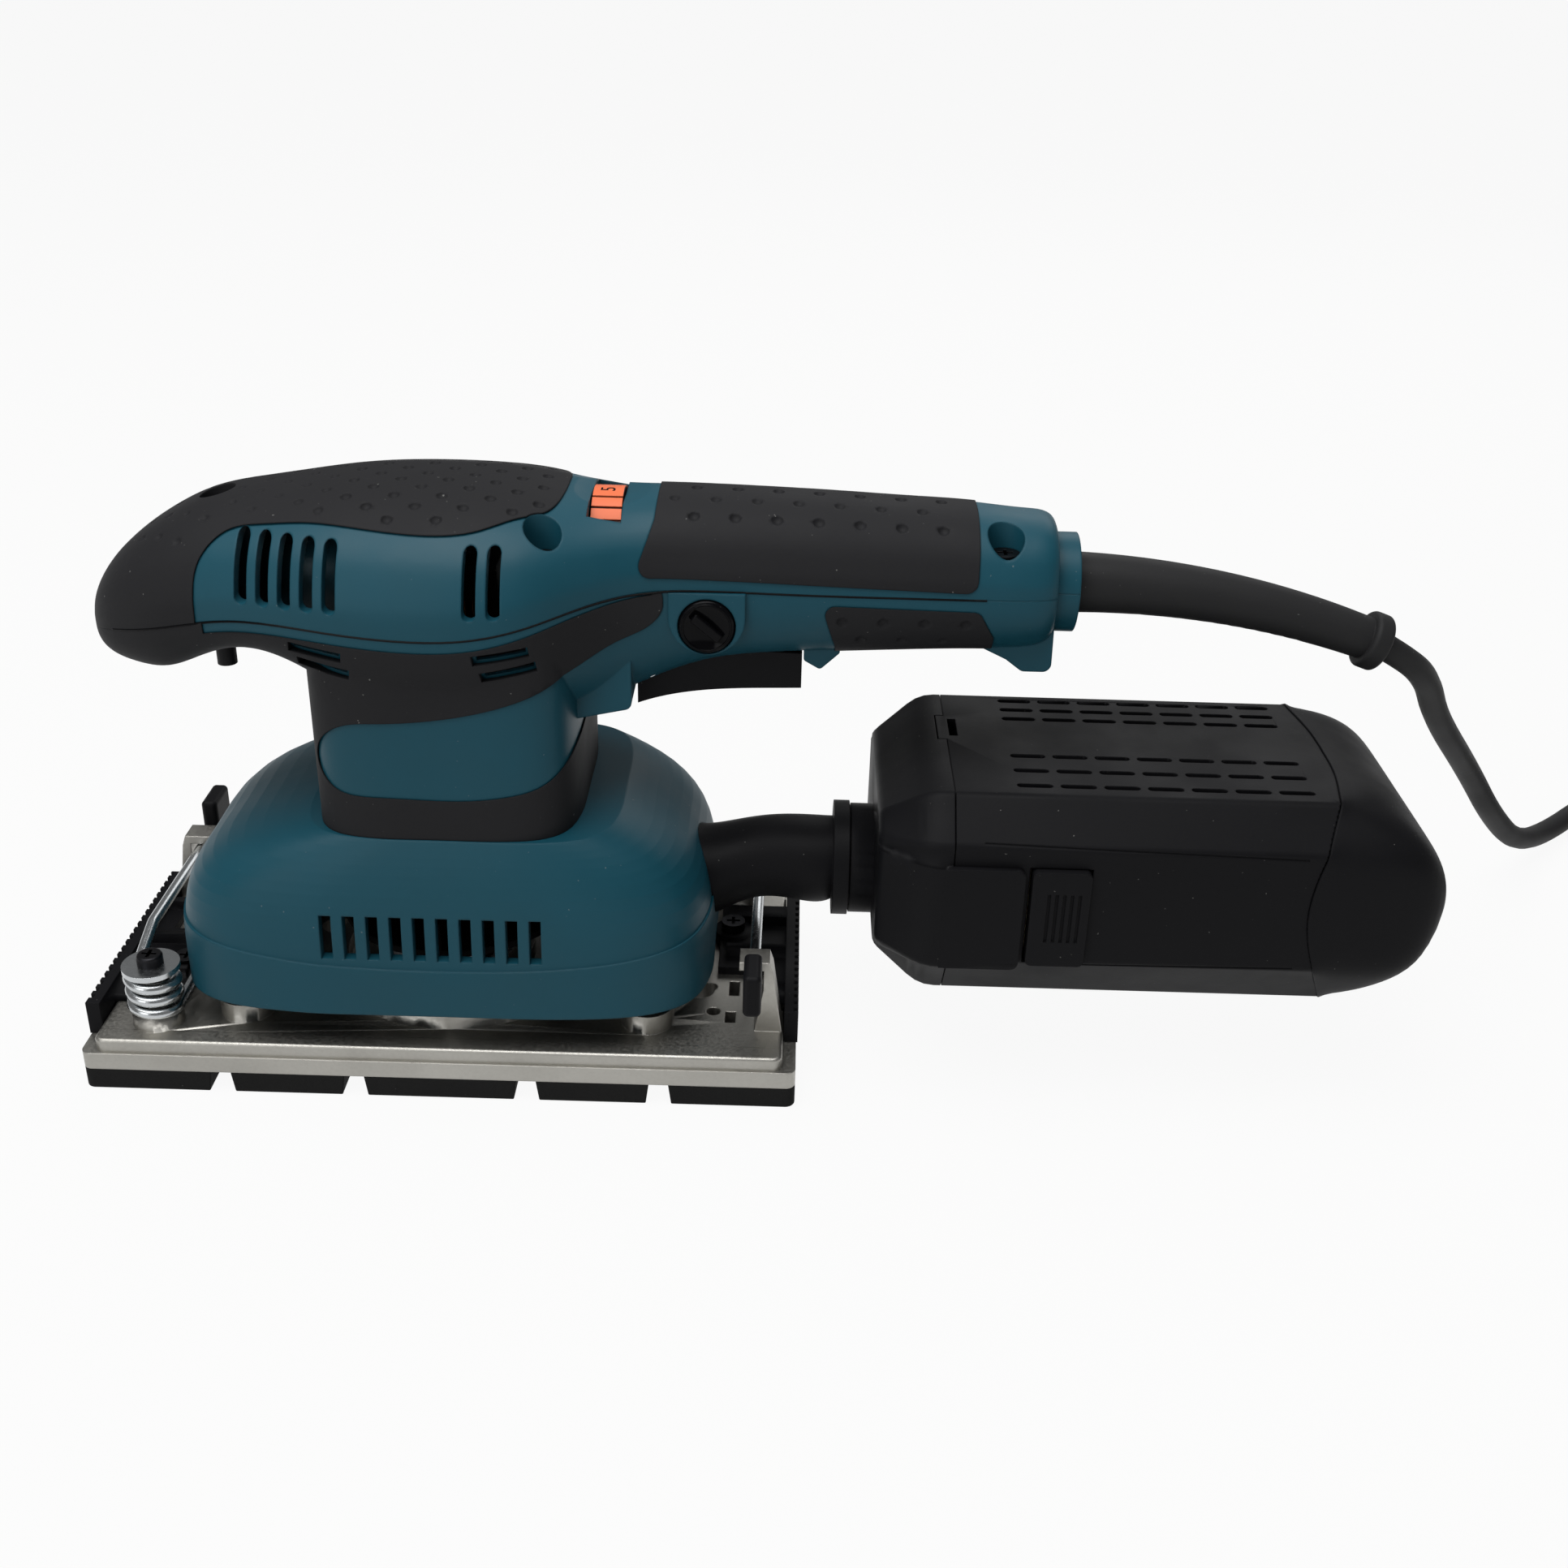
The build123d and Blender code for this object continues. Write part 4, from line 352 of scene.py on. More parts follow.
def mergedForm(nodeName):
    form = bmesh.new()
    form.from_mesh(nodes[nodeName].data)
    bmesh.ops.remove_doubles(form, verts=form.verts, dist=weld["node"] * mm)
    return form


def closeForm(form):  # doubles merged, then every face turned outwards
    bmesh.ops.remove_doubles(form, verts=form.verts, dist=weld["form"] * mm)
    bmesh.ops.recalc_face_normals(form, faces=form.faces)


def bevelEdges(form, edges, offsetMm, segments):
    bmesh.ops.bevel(
        form, geom=edges, offset=offsetMm * mm, offset_type="OFFSET", segments=segments, profile=0.5,
        affect="EDGES", clamp_overlap=True, material=-1)


def fullTurn(form, outline, steps):  # turned round the upright axis
    bmesh.ops.spin(
        form, geom=outline, cent=(0, 0, 0), axis=(0, 0, 1), angle=2 * math.pi, steps=steps, use_merge=True)
    closeForm(form)


def makeObject(form, name):
    mesh = bpy.data.meshes.new(name)
    form.to_mesh(mesh)
    form.free()
    return addObject(name, mesh)


def joinForms(forms):
    whole = bmesh.new()
    for part in forms:
        mesh = bpy.data.meshes.new("part")
        part.to_mesh(mesh)
        part.free()
        whole.from_mesh(mesh)
        bpy.data.meshes.remove(mesh)
    return whole


def finishPiece(piece, slot, body, stands, sharpDegrees=30):
    mesh = piece.data
    mesh.materials.clear()
    mesh.materials.append(materials[slot])
    mesh.shade_smooth()
    mesh.set_sharp_from_angle(angle=math.radians(sharpDegrees))
    even = piece.modifiers.new("evenNormals", "WEIGHTED_NORMAL")
    even.keep_sharp = True
    even.weight = 80
    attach(piece, body)
    if stands:
        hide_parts(*stands)


def carve(piece, cutter):
    trim = piece.modifiers.new("carve", "BOOLEAN")
    trim.operation = "DIFFERENCE"
    trim.solver = "EXACT"
    trim.object = cutter
    shape = settledMesh(piece)
    piece.modifiers.remove(trim)
    piece.data = shape
    bpy.data.objects.remove(cutter)


def grooveTool(paths, radiusMm):  # round-bottomed grooves along lines that lie on a surface
    curve = bpy.data.curves.new("grooveTool", "CURVE")
    curve.dimensions = "3D"
    curve.bevel_depth = radiusMm * mm
    curve.bevel_resolution = 2
    curve.use_fill_caps = True
    for path, closed in paths:
        line = curve.splines.new("POLY")
        line.points.add(len(path) - 1)
        for point, place in zip(line.points, path):
            point.co = (*place, 1.0)
        line.use_cyclic_u = closed
    tool = addObject("grooveTool", curve)
    form = bmesh.new()
    form.from_mesh(settledMesh(tool))
    bpy.data.objects.remove(tool)
    closeForm(form)
    return makeObject(form, "grooveTool")


# thumb dimples of the soft grips, from the lie of the rows on the tool
gripDimple = {"ball": 1.75, "depth": 0.8, "margin": 2.5, "flat": 0.6, "probes": 8, "segments": (20, 16)}
topRows = {
    "pitch": 11.45, "rowPitch": 4.3, "phase": 4.4, "rows": 6, "steps": (-8, 4), "from": -74.0, "to": 31.0,
    "fadeFrom": -18.0, "fadeOver": 40.0, "fadeLeast": 0.6,
}
handleRows = {
    "pitch": 10.0, "start": 64.0, "count": 7, "rowY": (-12.3, 0.0, 12.3), "offsetY": (-6.6, 6.6),
    "offsetShare": 0.9,
}
lowerRows = {"pitch": 10.0, "upper": (100.3, 125.0, 4), "lower": (105.3, 119.7, 3), "share": 0.9}
downwards = (0, 0, -1)


def topGuides(look):
    guides = []
    for row in range(-look["rows"], look["rows"]):
        y = look["rowPitch"] * (row + 0.5)
        start = look["phase"] + (row % 2) * look["pitch"] / 2
        for k in range(*look["steps"]):
            x = start + k * look["pitch"]
            if look["from"] < x < look["to"]:
                fade = 1 + (x - look["fadeFrom"]) / look["fadeOver"]
                guides.append(((x, y, rayFrom["top"]), downwards, min(1.0, max(look["fadeLeast"], fade))))
    return guides


def handleGuides(look):
    guides = []
    for k in range(look["count"]):
        x = look["start"] + k * look["pitch"]
        between = x - look["pitch"] / 2
        guides += [((x, y, rayFrom["top"]), downwards, 1.0) for y in look["rowY"]]
        guides += [((between, y, rayFrom["top"]), downwards, look["offsetShare"]) for y in look["offsetY"]]
    return guides


def lowerGuides(look):
    guides = []
    for x, z, count in (look["upper"], look["lower"]):
        for k in range(count):
            for side in (-1, 1):
                start = (x + k * look["pitch"], side * rayFrom["side"], z)
                guides.append((start, (0, -side, 0), look["share"]))
    return guides


def dimpleTool(form, guides, look):
    tree = BVHTree.FromBMesh(form)
    tool = bmesh.new()
    across, along = look["segments"]
    for start, heading, share in guides:
        aim = Vector(heading)
        hit, normal, _, _ = tree.ray_cast(Vector(start) * mm, aim)
        if hit is None:
            continue
        around = aim.orthogonal().normalized()
        clear = True  # no edge of the grip within the margin
        for k in range(look["probes"]):
            side = Matrix.Rotation(2 * math.pi * k / look["probes"], 3, aim) @ around * look["margin"] * mm
            near, _, _, _ = tree.ray_cast(Vector(start) * mm + side, aim)
            clear = clear and near is not None and abs((near - hit).dot(normal)) < look["flat"] * mm
        if not clear:
            continue
        turn = normal.to_track_quat("Z", "Y").to_matrix().to_4x4()
        centre = hit + normal * (look["ball"] - look["depth"] * share) * mm
        bmesh.ops.create_uvsphere(
            tool, u_segments=across, v_segments=along, radius=look["ball"] * mm,
            matrix=Matrix.Translation(centre) @ turn)
    return makeObject(tool, "dimpleTool")


grips = (
    {"node": "top_grip", "piece": "topGripSkin", "guides": topGuides(topRows)},
    {"node": "handle_grip", "piece": "handleGripSkin", "guides": handleGuides(handleRows)},
    {"node": "lower_grip", "piece": "lowerGripSkin", "guides": lowerGuides(lowerRows)},
    {"node": "neck_sleeve", "piece": "neckSleeveSkin", "guides": ()},
)
for grip in grips:
    form = mergedForm(grip["node"])
    tool = dimpleTool(form, grip["guides"], gripDimple) if grip["guides"] else None
    skin = makeObject(form, grip["piece"])
    if tool:
        carve(skin, tool)
    finishPiece(skin, "soft_grip", "housing", [grip["node"]])
    print("grip:", grip["piece"], len(skin.data.polygons))


# painted shade: a thin black tube laid in the joint of the two shells, standing for the shade in that gap,
# found where the upper pieces meet the lower ones
jointShadeLine = {
    "line": ((-80.0, 117.6), (-66.0, 120.9), (-45.0, 125.3), (-20.0, 125.4), (14.0, 125.5), (36.0, 129.7),
             (56.0, 132.1), (82.0, 132.0), (116.0, 131.7), (140.0, 131.7)),
    "upper": ("upper_shell", "top_grip", "handle_grip"),
    "lower": ("lower_housing", "neck_sleeve", "lower_grip"),
    "from": -77.0, "to": 136.0, "step": 2.0, "search": 3.0, "halvings": 12, "evenings": 2,
    "radius": 0.3, "sunk": 0.1,
}


def sideTree(names):
    whole = joinForms([mergedForm(name) for name in names])
    tree = BVHTree.FromBMesh(whole)
    whole.free()
    return tree


def jointSpot(trees, x, side, look):
    (x0, z0), (x1, z1) = next(pair for pair in zip(look["line"], look["line"][1:]) if x <= pair[1][0])
    guess = z0 + (z1 - z0) * (x - x0) / (x1 - x0)
    aim = Vector((0, -side, 0))
    low, high = guess - look["search"], guess + look["search"]
    miss = 1.0  # metre, further than any hit
    spot = None
    for k in range(look["halvings"]):
        z = (low + high) / 2
        start = Vector((x, side * rayFrom["side"], z)) * mm
        hits = [tree.ray_cast(start, aim) for tree in trees]
        reach = [hit[3] if hit[0] else miss for hit in hits]
        if min(reach) == miss:
            return None
        spot = start + aim * (min(reach) + look["sunk"] * mm)
        if reach[0] < reach[1]:
            high = z
        else:
            low = z
    return spot


def jointPaths(look):
    trees = (sideTree(look["upper"]), sideTree(look["lower"]))
    paths = []
    for side in (-1, 1):
        count = int((look["to"] - look["from"]) / look["step"])
        spots = [jointSpot(trees, look["from"] + k * look["step"], side, look) for k in range(count + 1)]
        spots = [spot for spot in spots if spot]
        for k in range(look["evenings"]):  # a ray that slips into the joint takes its neighbours' reach
            for before, spot, after in zip(spots, spots[1:], spots[2:]):
                spot.y = side * max(abs(spot.y), abs(before.y + after.y) / 2)
        paths.append((spots, False))
    return paths


# the black tube is painted shade along the shell joint, not a part of the tool
joint = grooveTool(jointPaths(jointShadeLine), jointShadeLine["radius"])
joint.name = "jointShadeLine"
finishPiece(joint, "gloss_black", "housing", [])
print("shell joint:", len(joint.data.polygons))


# raised bar and rim on the lock button, for the thumb
buttonBar = {
    "long": 8.6, "wide": 2.4, "high": 0.9, "turn": 40.0, "edge": 0.4, "segments": 3,
    "rimRadius": 0.3, "rimIn": 0.9, "rimSides": 12, "rimSteps": 48,
}


def buttonForms(look):
    low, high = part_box("lock_button")
    middle = Vector(((low.x + high.x) / 2, low.y, (low.z + high.z) / 2))
    bar = bmesh.new()
    bmesh.ops.create_cube(bar, size=mm, matrix=(
        Matrix.Translation(middle) @ Matrix.Rotation(math.radians(look["turn"]), 4, "Y")
        @ Matrix.Diagonal((look["long"], 2 * look["high"], look["wide"], 1))))
    bevelEdges(bar, bar.edges[:], look["edge"], look["segments"])
    rim = bmesh.new()
    turn = Matrix.Rotation(math.pi / 2, 4, "X")
    ring = bmesh.ops.create_circle(rim, segments=look["rimSides"], radius=look["rimRadius"] * mm)["verts"]
    away = (high.z - low.z) / 2 - look["rimIn"] * mm
    bmesh.ops.rotate(rim, verts=ring, cent=(0, 0, 0), matrix=turn.to_3x3())
    bmesh.ops.translate(rim, verts=ring, vec=(away, 0, 0))
    fullTurn(rim, rim.verts[:] + rim.edges[:], look["rimSteps"])
    bmesh.ops.transform(rim, verts=rim.verts, matrix=Matrix.Translation(middle) @ turn)
    return [bar, rim]


button = makeObject(joinForms(buttonForms(buttonBar)), "lockButtonBar")
finishPiece(button, "gloss_black", "lock", [])
print("button bar:", len(button.data.polygons))


# dust box: a domed end cap that stands a little proud, and the parting lines of its sides
boxSeam = {
    "crest": 228.3, "flank": 218.5, "foot": 231.0, "bend": 4, "centreZ": 60.0, "steps": 180, "radius": 0.3,
    "sideLine": (137.0, 216.5, 76.4, 74.6), "lowLine": (150.0, 217.0, 42.4, 43.4), "lineSteps": 12,
    "blockRadius": 120.0, "blockInset": 110.0, "blockDeep": 100.0,
}


def capLine(look, turn):  # lengthwise place of the seam, furthest back at the crest
    end = look["crest"] if math.cos(turn) > 0 else look["foot"]
    return look["flank"] + (end - look["flank"]) * (1 - math.sin(turn) ** look["bend"])


def boxPaths(form, look):
    tree = BVHTree.FromBMesh(form)
    paths = []
    for x0, x1, z0, z1 in (look["sideLine"], look["lowLine"]):
        for side in (-1, 1):
            line = []
            for k in range(look["lineSteps"] + 1):
                share = k / look["lineSteps"]
                x, z = x0 + (x1 - x0) * share, z0 + (z1 - z0) * share
                start = Vector((x, side * rayFrom["side"], z)) * mm
                hit, _, _, _ = tree.ray_cast(start, Vector((0, -side, 0)))
                line.append(hit)
            paths.append((line, False))
    return paths


endCap = {
    "turns": 160, "rows": 64, "tip": (254.6, 61.0), "topFrom": 222.0, "underFrom": 228.0,
    "rounds": 16, "pull": 0.5, "pinned": 0.04, "proud": 0.5, "lip": 0.4, "lipSegments": 3,
    "castFrom": 200.0, "leastSlope": 0.2, "halvings": 24,
}


def insideNose(spot, box, look):  # round-nosed side profile of the cap
    tipX, tipZ = (value * mm for value in look["tip"])
    low, high = box
    start = (look["topFrom"] if spot.z > tipZ else look["underFrom"]) * mm
    share = min(max((spot.x - start) / (tipX - start), 0), 1)
    limit = (high.z - tipZ if spot.z > tipZ else tipZ - low.z) * math.sqrt(1 - share * share)
    return abs(spot.z - tipZ) <= limit


def endCapForm(tree, seam, look):
    # Half a ball drawn out to the seam's outline and the nose profile, relaxed until the edges are soft
    form = bmesh.new()
    bmesh.ops.create_uvsphere(
        form, u_segments=look["turns"], v_segments=look["rows"], radius=1.0,
        matrix=Matrix.Rotation(math.pi / 2, 4, "Y"))
    whole = form.verts[:] + form.edges[:] + form.faces[:]
    bmesh.ops.bisect_plane(
        form, geom=whole, dist=0.0001, plane_co=(0, 0, 0), plane_no=(1, 0, 0), clear_inner=True)
    free = [vert for vert in form.verts if vert.co.x > look["pinned"]]
    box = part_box("dust_box")
    for vert in form.verts:
        aim = vert.co.normalized()
        turn = math.atan2(aim.y, aim.z)
        out = Vector((0, math.sin(turn), math.cos(turn)))
        axis = Vector((capLine(seam, turn), 0, seam["centreZ"])) * mm
        outline = (tree.ray_cast(axis + out * look["castFrom"] * mm, -out)[0] - axis).length
        near, far = 0.0, outline / max(math.hypot(aim.y, aim.z), look["leastSlope"])
        for k in range(look["halvings"]):
            middle = (near + far) / 2
            if insideNose(axis + aim * middle, box, look):
                near = middle
            else:
                far = middle
        vert.co = axis + aim * far
    for k in range(look["rounds"]):
        bmesh.ops.smooth_vert(
            form, verts=free, factor=look["pull"], use_axis_x=True, use_axis_y=True, use_axis_z=True)
    bmesh.ops.recalc_face_normals(form, faces=form.faces)
    form.normal_update()
    for vert in form.verts:
        vert.co += vert.normal * look["proud"] * mm
    rim = [edge for edge in form.edges if edge.is_boundary]
    back = bmesh.ops.holes_fill(form, edges=rim, sides=0)["faces"]
    bmesh.ops.poke(form, faces=back)
    bmesh.ops.recalc_face_normals(form, faces=form.faces)
    bevelEdges(form, rim, look["lip"], look["lipSegments"])
    return form


def behindSeam(seam):
    # Block with the seam's own curved face, to part the bin from its cap
    form = bmesh.new()
    bmesh.ops.create_circle(
        form, cap_ends=True, segments=seam["steps"], radius=seam["blockRadius"] * mm,
        matrix=Matrix.Rotation(math.pi / 2, 4, "Y"))
    bmesh.ops.inset_region(
        form, faces=form.faces[:], thickness=seam["blockInset"] * mm, use_boundary=True, use_even_offset=True)
    for vert in form.verts:
        turn = math.atan2(vert.co.y, vert.co.z)
        vert.co += Vector((capLine(seam, turn), 0, seam["centreZ"])) * mm
    moved = bmesh.ops.extrude_face_region(form, geom=form.faces[:])["geom"]
    pulled = [item for item in moved if isinstance(item, bmesh.types.BMVert)]
    bmesh.ops.translate(form, verts=pulled, vec=(seam["blockDeep"] * mm, 0, 0))
    bmesh.ops.recalc_face_normals(form, faces=form.faces)
    return makeObject(form, "behindSeam")


form = mergedForm("dust_box")
seams = grooveTool(boxPaths(form, boxSeam), boxSeam["radius"])
capForm = endCapForm(BVHTree.FromBMesh(form), boxSeam, endCap)
dustBin = makeObject(form, "dustBinShell")
carve(dustBin, seams)
carve(dustBin, behindSeam(boxSeam))
finishPiece(dustBin, "black_plastic", "box", ["dust_box"])
dustBinCap = makeObject(capForm, "dustBinCap")
finishPiece(dustBinCap, "black_plastic", "box", [])
dustLid = makeObject(mergedForm("dust_cover"), "dustLidShell")
finishPiece(dustLid, "black_plastic", "cover", ["dust_cover"])
print("dust bin:", len(dustBin.data.polygons), len(dustBinCap.data.polygons), len(dustLid.data.polygons))


# rails that carry the upper step of the cast plate out to its long edges
plateRail = {
    "inset": 3.5, "gap": 0.8, "width": 5.2, "low": 3.8, "proud": 0.02,
    "corner": 2.5, "cornerSegments": 6, "edge": 0.9, "edgeSegments": 4,
}


def railForms(look, top):
    low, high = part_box("base_plate")
    length = high.x - low.x - 2 * look["inset"] * mm
    deep = look["low"] * mm
    forms = []
    for side in (-1, 1):
        form = bmesh.new()
        bmesh.ops.create_cube(form, size=1.0, matrix=Matrix.Diagonal((length, look["width"] * mm, deep, 1)))
        outer = [edge for edge in form.edges if all(vert.co.y * side > 0 for vert in edge.verts)]
        upright = [edge for edge in outer if abs(edge.verts[0].co.z - edge.verts[1].co.z) > deep / 2]
        bevelEdges(form, upright, look["corner"], look["cornerSegments"])
        brim = [edge for edge in form.edges if all(vert.co.z > 0 for vert in edge.verts)
                and not all(vert.co.y * side < 0 for vert in edge.verts)]
        bevelEdges(form, brim, look["edge"], look["edgeSegments"])
        middleY = side * (high.y - (look["gap"] + look["width"] / 2) * mm)
        bmesh.ops.translate(form, verts=form.verts, vec=(0, middleY, top - deep / 2 + look["proud"] * mm))
        forms.append(form)
    return forms


# holes through the cast plate at the notch of each lever, and the gap there in the clamp bar
plateHoles = {
    "places": ((68.9, -12.4), (70.2, -24.1)), "radius": 1.9, "segments": 24,
    "slot": (75.4, -12.9), "slotSize": (2.8, 7.0), "deep": 8.6, "shadeSharp": 12,
}
clampCut = {"x": (69.0, 84.0), "y": (-23.5, -6.0), "tall": 12.0}
clampBars = (("rear_clamp", "rearClampBar"), ("front_clamp", "frontClampBar"))


def bothEnds(form):  # the same again at the other end of the plate
    again = form.copy()
    bmesh.ops.rotate(again, verts=again.verts, cent=(0, 0, 0), matrix=Matrix.Rotation(math.pi, 3, "Z"))
    return [form, again]


def holeTool(look, top):
    forms = []
    for x, y in look["places"]:
        form = bmesh.new()
        bmesh.ops.create_cone(
            form, cap_ends=True, segments=look["segments"],
            radius1=look["radius"] * mm, radius2=look["radius"] * mm,
            depth=2 * look["deep"] * mm, matrix=Matrix.Translation((x * mm, y * mm, top)))
        forms += bothEnds(form)
    form = bmesh.new()
    wide, tall = look["slotSize"]
    bmesh.ops.create_cube(form, size=mm, matrix=(
        Matrix.Translation((look["slot"][0] * mm, look["slot"][1] * mm, top))
        @ Matrix.Diagonal((wide, tall, 2 * look["deep"], 1))))
    return makeObject(joinForms(forms + bothEnds(form)), "holeTool")


def clampTool(look, top):
    form = bmesh.new()
    (x0, x1), (y0, y1) = look["x"], look["y"]
    bmesh.ops.create_cube(form, size=mm, matrix=(
        Matrix.Translation(((x0 + x1) / 2 * mm, (y0 + y1) / 2 * mm, top))
        @ Matrix.Diagonal((x1 - x0, y1 - y0, 2 * look["tall"], 1))))
    return form


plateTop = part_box("rubber_feet")[0].z
castPlate = makeObject(mergedForm("base_plate"), "castPlate")
carve(castPlate, holeTool(plateHoles, plateTop))
finishPiece(castPlate, "cast_aluminium", "pad", ["base_plate"], plateHoles["shadeSharp"])
for (node, name), tool in zip(clampBars, bothEnds(clampTool(clampCut, plateTop))):
    clamp = makeObject(mergedForm(node), name)
    carve(clamp, makeObject(tool, "clampTool"))
    finishPiece(clamp, slotOf[node], "pad", [node])
rails = makeObject(joinForms(railForms(plateRail, plateTop)), "plateRails")
finishPiece(rails, "cast_aluminium", "pad", [])
print("plate rails:", len(rails.data.polygons))


# sanding pad: sponge rubber with rounded edges
padLook = {"edge": 0.7, "segments": 3, "flat": 2.0, "sharp": 40.0, "shadeSharp": 50}


def roundEdges(form, look):
    bmesh.ops.dissolve_limit(
        form, angle_limit=math.radians(look["flat"]), verts=form.verts, edges=form.edges,
        use_dissolve_boundaries=False)
    edges = [edge for edge in form.edges if len(edge.link_faces) == 2
             and edge.calc_face_angle() > math.radians(look["sharp"])]
    bevelEdges(form, edges, look["edge"], look["segments"])


form = mergedForm("sanding_pad")
roundEdges(form, padLook)
sponge = makeObject(form, "spongePad")
finishPiece(sponge, "pad_rubber", "pad", ["sanding_pad"], padLook["shadeSharp"])
print("pad:", len(sponge.data.polygons))


# waisted rubber feet between the plate and the skirt
foot = {"radius": 5.0, "waist": 0.55, "bead": 0.35, "steps": 10, "turns": 28}


def footForm(low, high, radius, centre, look):
    form = bmesh.new()
    verts = [form.verts.new((0, 0, low))]
    for k in range(look["steps"] + 1):
        share = k / look["steps"]
        pull = look["waist"] * math.sin(math.pi * share) ** 2 * mm
        ease = look["bead"] * mm if k in (0, look["steps"]) else 0
        verts.append(form.verts.new((radius - pull - ease, 0, low + (high - low) * share)))
    verts.append(form.verts.new((0, 0, high)))
    edges = [form.edges.new(pair) for pair in zip(verts, verts[1:])]
    fullTurn(form, verts + edges, look["turns"])
    bmesh.ops.translate(form, verts=form.verts, vec=centre)
    return form


low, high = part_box("rubber_feet")
footRadius = foot["radius"] * mm
footX, footY = high.x - footRadius, high.y - footRadius
feet = makeObject(joinForms([
    footForm(low.z, high.z, footRadius, (x, y, 0), foot)
    for x in (-footX, footX) for y in (-footY, footY)]), "rubberFeet")
finishPiece(feet, "pad_rubber", "pad", ["rubber_feet"])
print("feet:", len(feet.data.polygons))


# soft pieces with eased edges
softEdges = {"edge": 0.4, "segments": 2, "flat": 2.0, "sharp": 50.0, "shadeSharp": 50}
for node, name, slot, body in (
    ("dust_filter", "filterBag", "filter_cloth", "box"),
    ("cord_tie", "leadTie", "cord_rubber", "housing"),
):
    form = mergedForm(node)
    roundEdges(form, softEdges)
    soft = makeObject(form, name)
    finishPiece(soft, slot, body, [node], softEdges["shadeSharp"])
layLead(lead)
print("lead laid, soft pieces done")


# plain numbers printed round the speed dial, tops towards the nose so that they read from the handle
dialNumbers = {
    "count": 6, "first": 5, "start": 5.0, "high": 3.6, "capitalShare": 0.7, "thick": 0.1, "lift": 0.02,
}


def numberForm(text, turn, look, low, high):
    curve = bpy.data.curves.new("number", "FONT")
    curve.body = text
    curve.size = look["high"] * mm / look["capitalShare"]
    curve.align_x = "CENTER"
    curve.align_y = "CENTER"
    curve.resolution_u = 4
    curve.extrude = look["thick"] / 2 * mm
    shape = addObject("number", curve)
    form = bmesh.new()
    form.from_mesh(settledMesh(shape))
    bpy.data.objects.remove(shape)
    bmesh.ops.remove_doubles(form, verts=form.verts, dist=weld["form"] * mm)
    radius, middle = (high.z - low.z) / 2, (low + high) / 2
    for vert in form.verts:  # wrapped round the dial's rim
        along, up, out = vert.co
        angle = turn - along / radius
        reach = radius + out + look["lift"] * mm
        vert.co = middle + Vector((-up, -reach * math.sin(angle), reach * math.cos(angle)))
    bmesh.ops.recalc_face_normals(form, faces=form.faces)
    return form


low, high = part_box("speed_dial")
forms = []
for k in range(dialNumbers["count"]):
    text = str((dialNumbers["first"] - 1 + k) % dialNumbers["count"] + 1)
    turn = math.radians(dialNumbers["start"]) - 2 * math.pi * k / dialNumbers["count"]
    forms.append(numberForm(text, turn, dialNumbers, low, high))
numbers = makeObject(joinForms(forms), "dialNumbers")
finishPiece(numbers, "gloss_black", "dial", [])
print("numbers:", len(numbers.data.polygons))


# floor and light
stage = {
    "floorHalf": 25.0, "floorDrop": 0.0001,  # metres
    "floorColour": "bcbcba", "floorRoughness": 0.9, "whiteShare": 0.93, "skyStrength": 0.2,
}


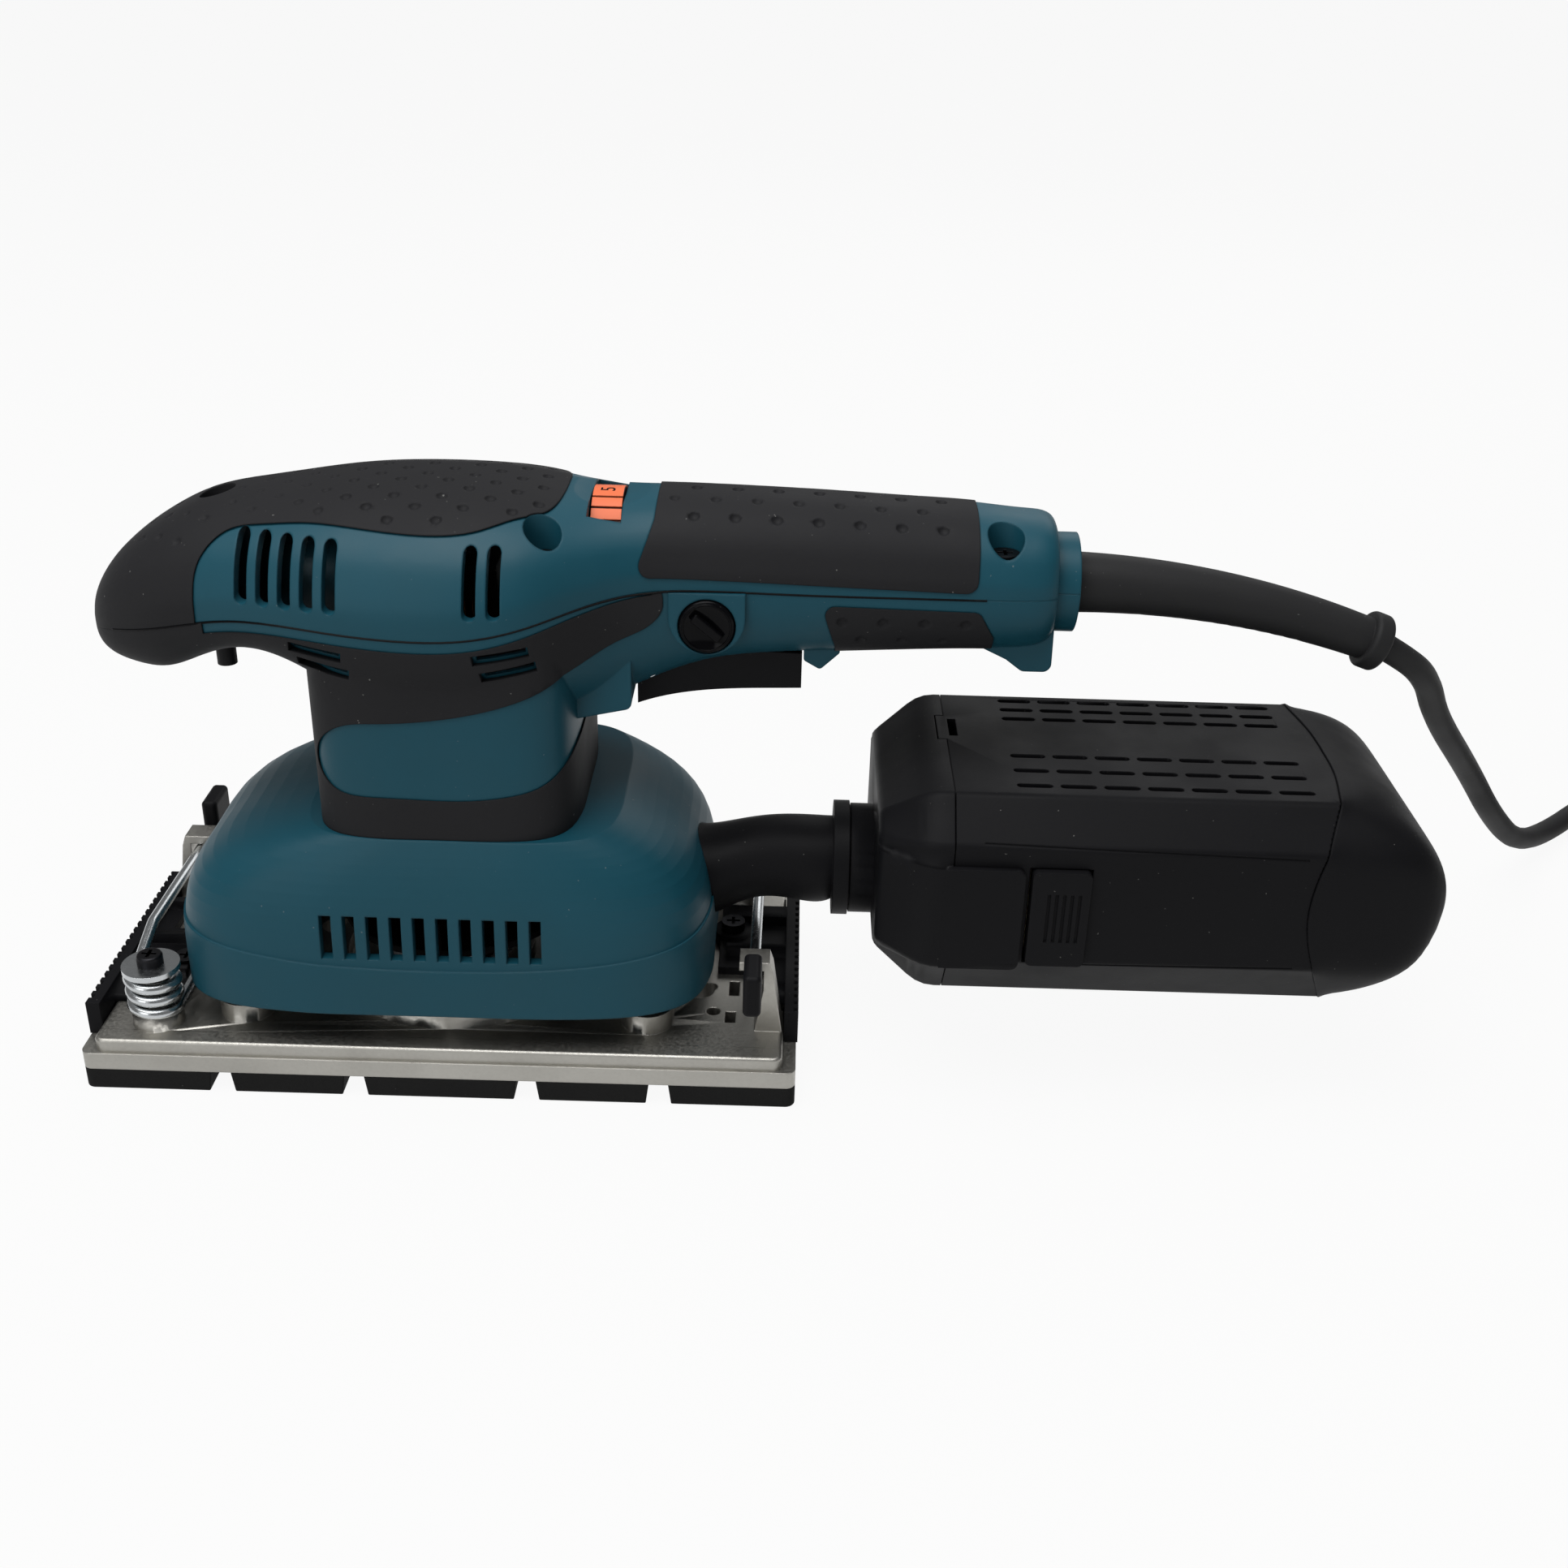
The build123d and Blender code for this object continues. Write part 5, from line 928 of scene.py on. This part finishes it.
def makeFloor(look):
    form = bmesh.new()
    bmesh.ops.create_grid(form, x_segments=1, y_segments=1, size=look["floorHalf"])
    bmesh.ops.translate(form, verts=form.verts, vec=(0, 0, -look["floorDrop"]))
    floor = makeObject(form, "floor")
    # Matt paper that the camera sees as near white, while it still takes the shadow
    material, tree, shader, _ = startMaterial("paperFloor")
    shader.inputs["Base Color"].default_value = linear(look["floorColour"])
    shader.inputs["Roughness"].default_value = look["floorRoughness"]
    path = addNode(tree, "LightPath", {}, {})
    seen = addNode(tree, "Math", {"operation": "MAXIMUM"}, {
        0: path.outputs["Is Camera Ray"], 1: path.outputs["Is Glossy Ray"]})
    share = addNode(tree, "Math", {"operation": "MULTIPLY"}, {0: seen.outputs[0], 1: look["whiteShare"]})
    glow = addNode(tree, "Emission", {}, {"Color": (1, 1, 1, 1), "Strength": 1.0})
    mixed = addNode(tree, "MixShader", {}, {
        0: share.outputs[0], 1: shader.outputs["BSDF"], 2: glow.outputs["Emission"]})
    tree.links.new(mixed.outputs[0], tree.nodes["Material Output"].inputs["Surface"])
    floor.data.materials.append(material)


def lightWorld(strength):
    world = bpy.data.worlds.new("studio")
    scene.world = world
    world.use_nodes = True
    tree = world.node_tree
    tree.nodes.clear()
    path = addNode(tree, "LightPath", {}, {})
    seen = addNode(tree, "Math", {"operation": "MAXIMUM"}, {
        0: path.outputs["Is Camera Ray"], 1: path.outputs["Is Transmission Ray"]})
    level = addNode(tree, "MapRange", {}, {"Value": seen.outputs[0], "To Min": strength, "To Max": 1.0})
    sky = addNode(tree, "Background", {}, {"Color": (1, 1, 1, 1), "Strength": level.outputs["Result"]})
    addNode(tree, "OutputWorld", {}, {"Surface": sky.outputs["Background"]})


lamps = (
    # places and sizes in metres
    {"name": "overhead", "place": (-0.15, -0.25, 1.3), "aim": (0.06, 0.0, 0.08), "size": 1.1, "watts": 19.0},
    {"name": "frontFill", "place": (-0.7, -1.3, 0.6), "aim": (0.06, 0.0, 0.07), "size": 0.9, "watts": 5.0},
    {"name": "rearRim", "place": (0.5, 1.1, 0.9), "aim": (0.06, 0.0, 0.1), "size": 0.9, "watts": 3.5},
)


def hangLamp(look):
    data = bpy.data.lights.new(look["name"], "AREA")
    data.size = look["size"]
    data.energy = look["watts"]
    lamp = addObject(look["name"], data)
    lamp.location = look["place"]
    lamp.rotation_euler = (Vector(look["aim"]) - Vector(look["place"])).to_track_quat("-Z", "Y").to_euler()


makeFloor(stage)
lightWorld(stage["skyStrength"])
for lamp in lamps:
    hangLamp(lamp)
scene.view_settings.view_transform = "Standard"
print("stage lit")

bpy.context.view_layer.update()
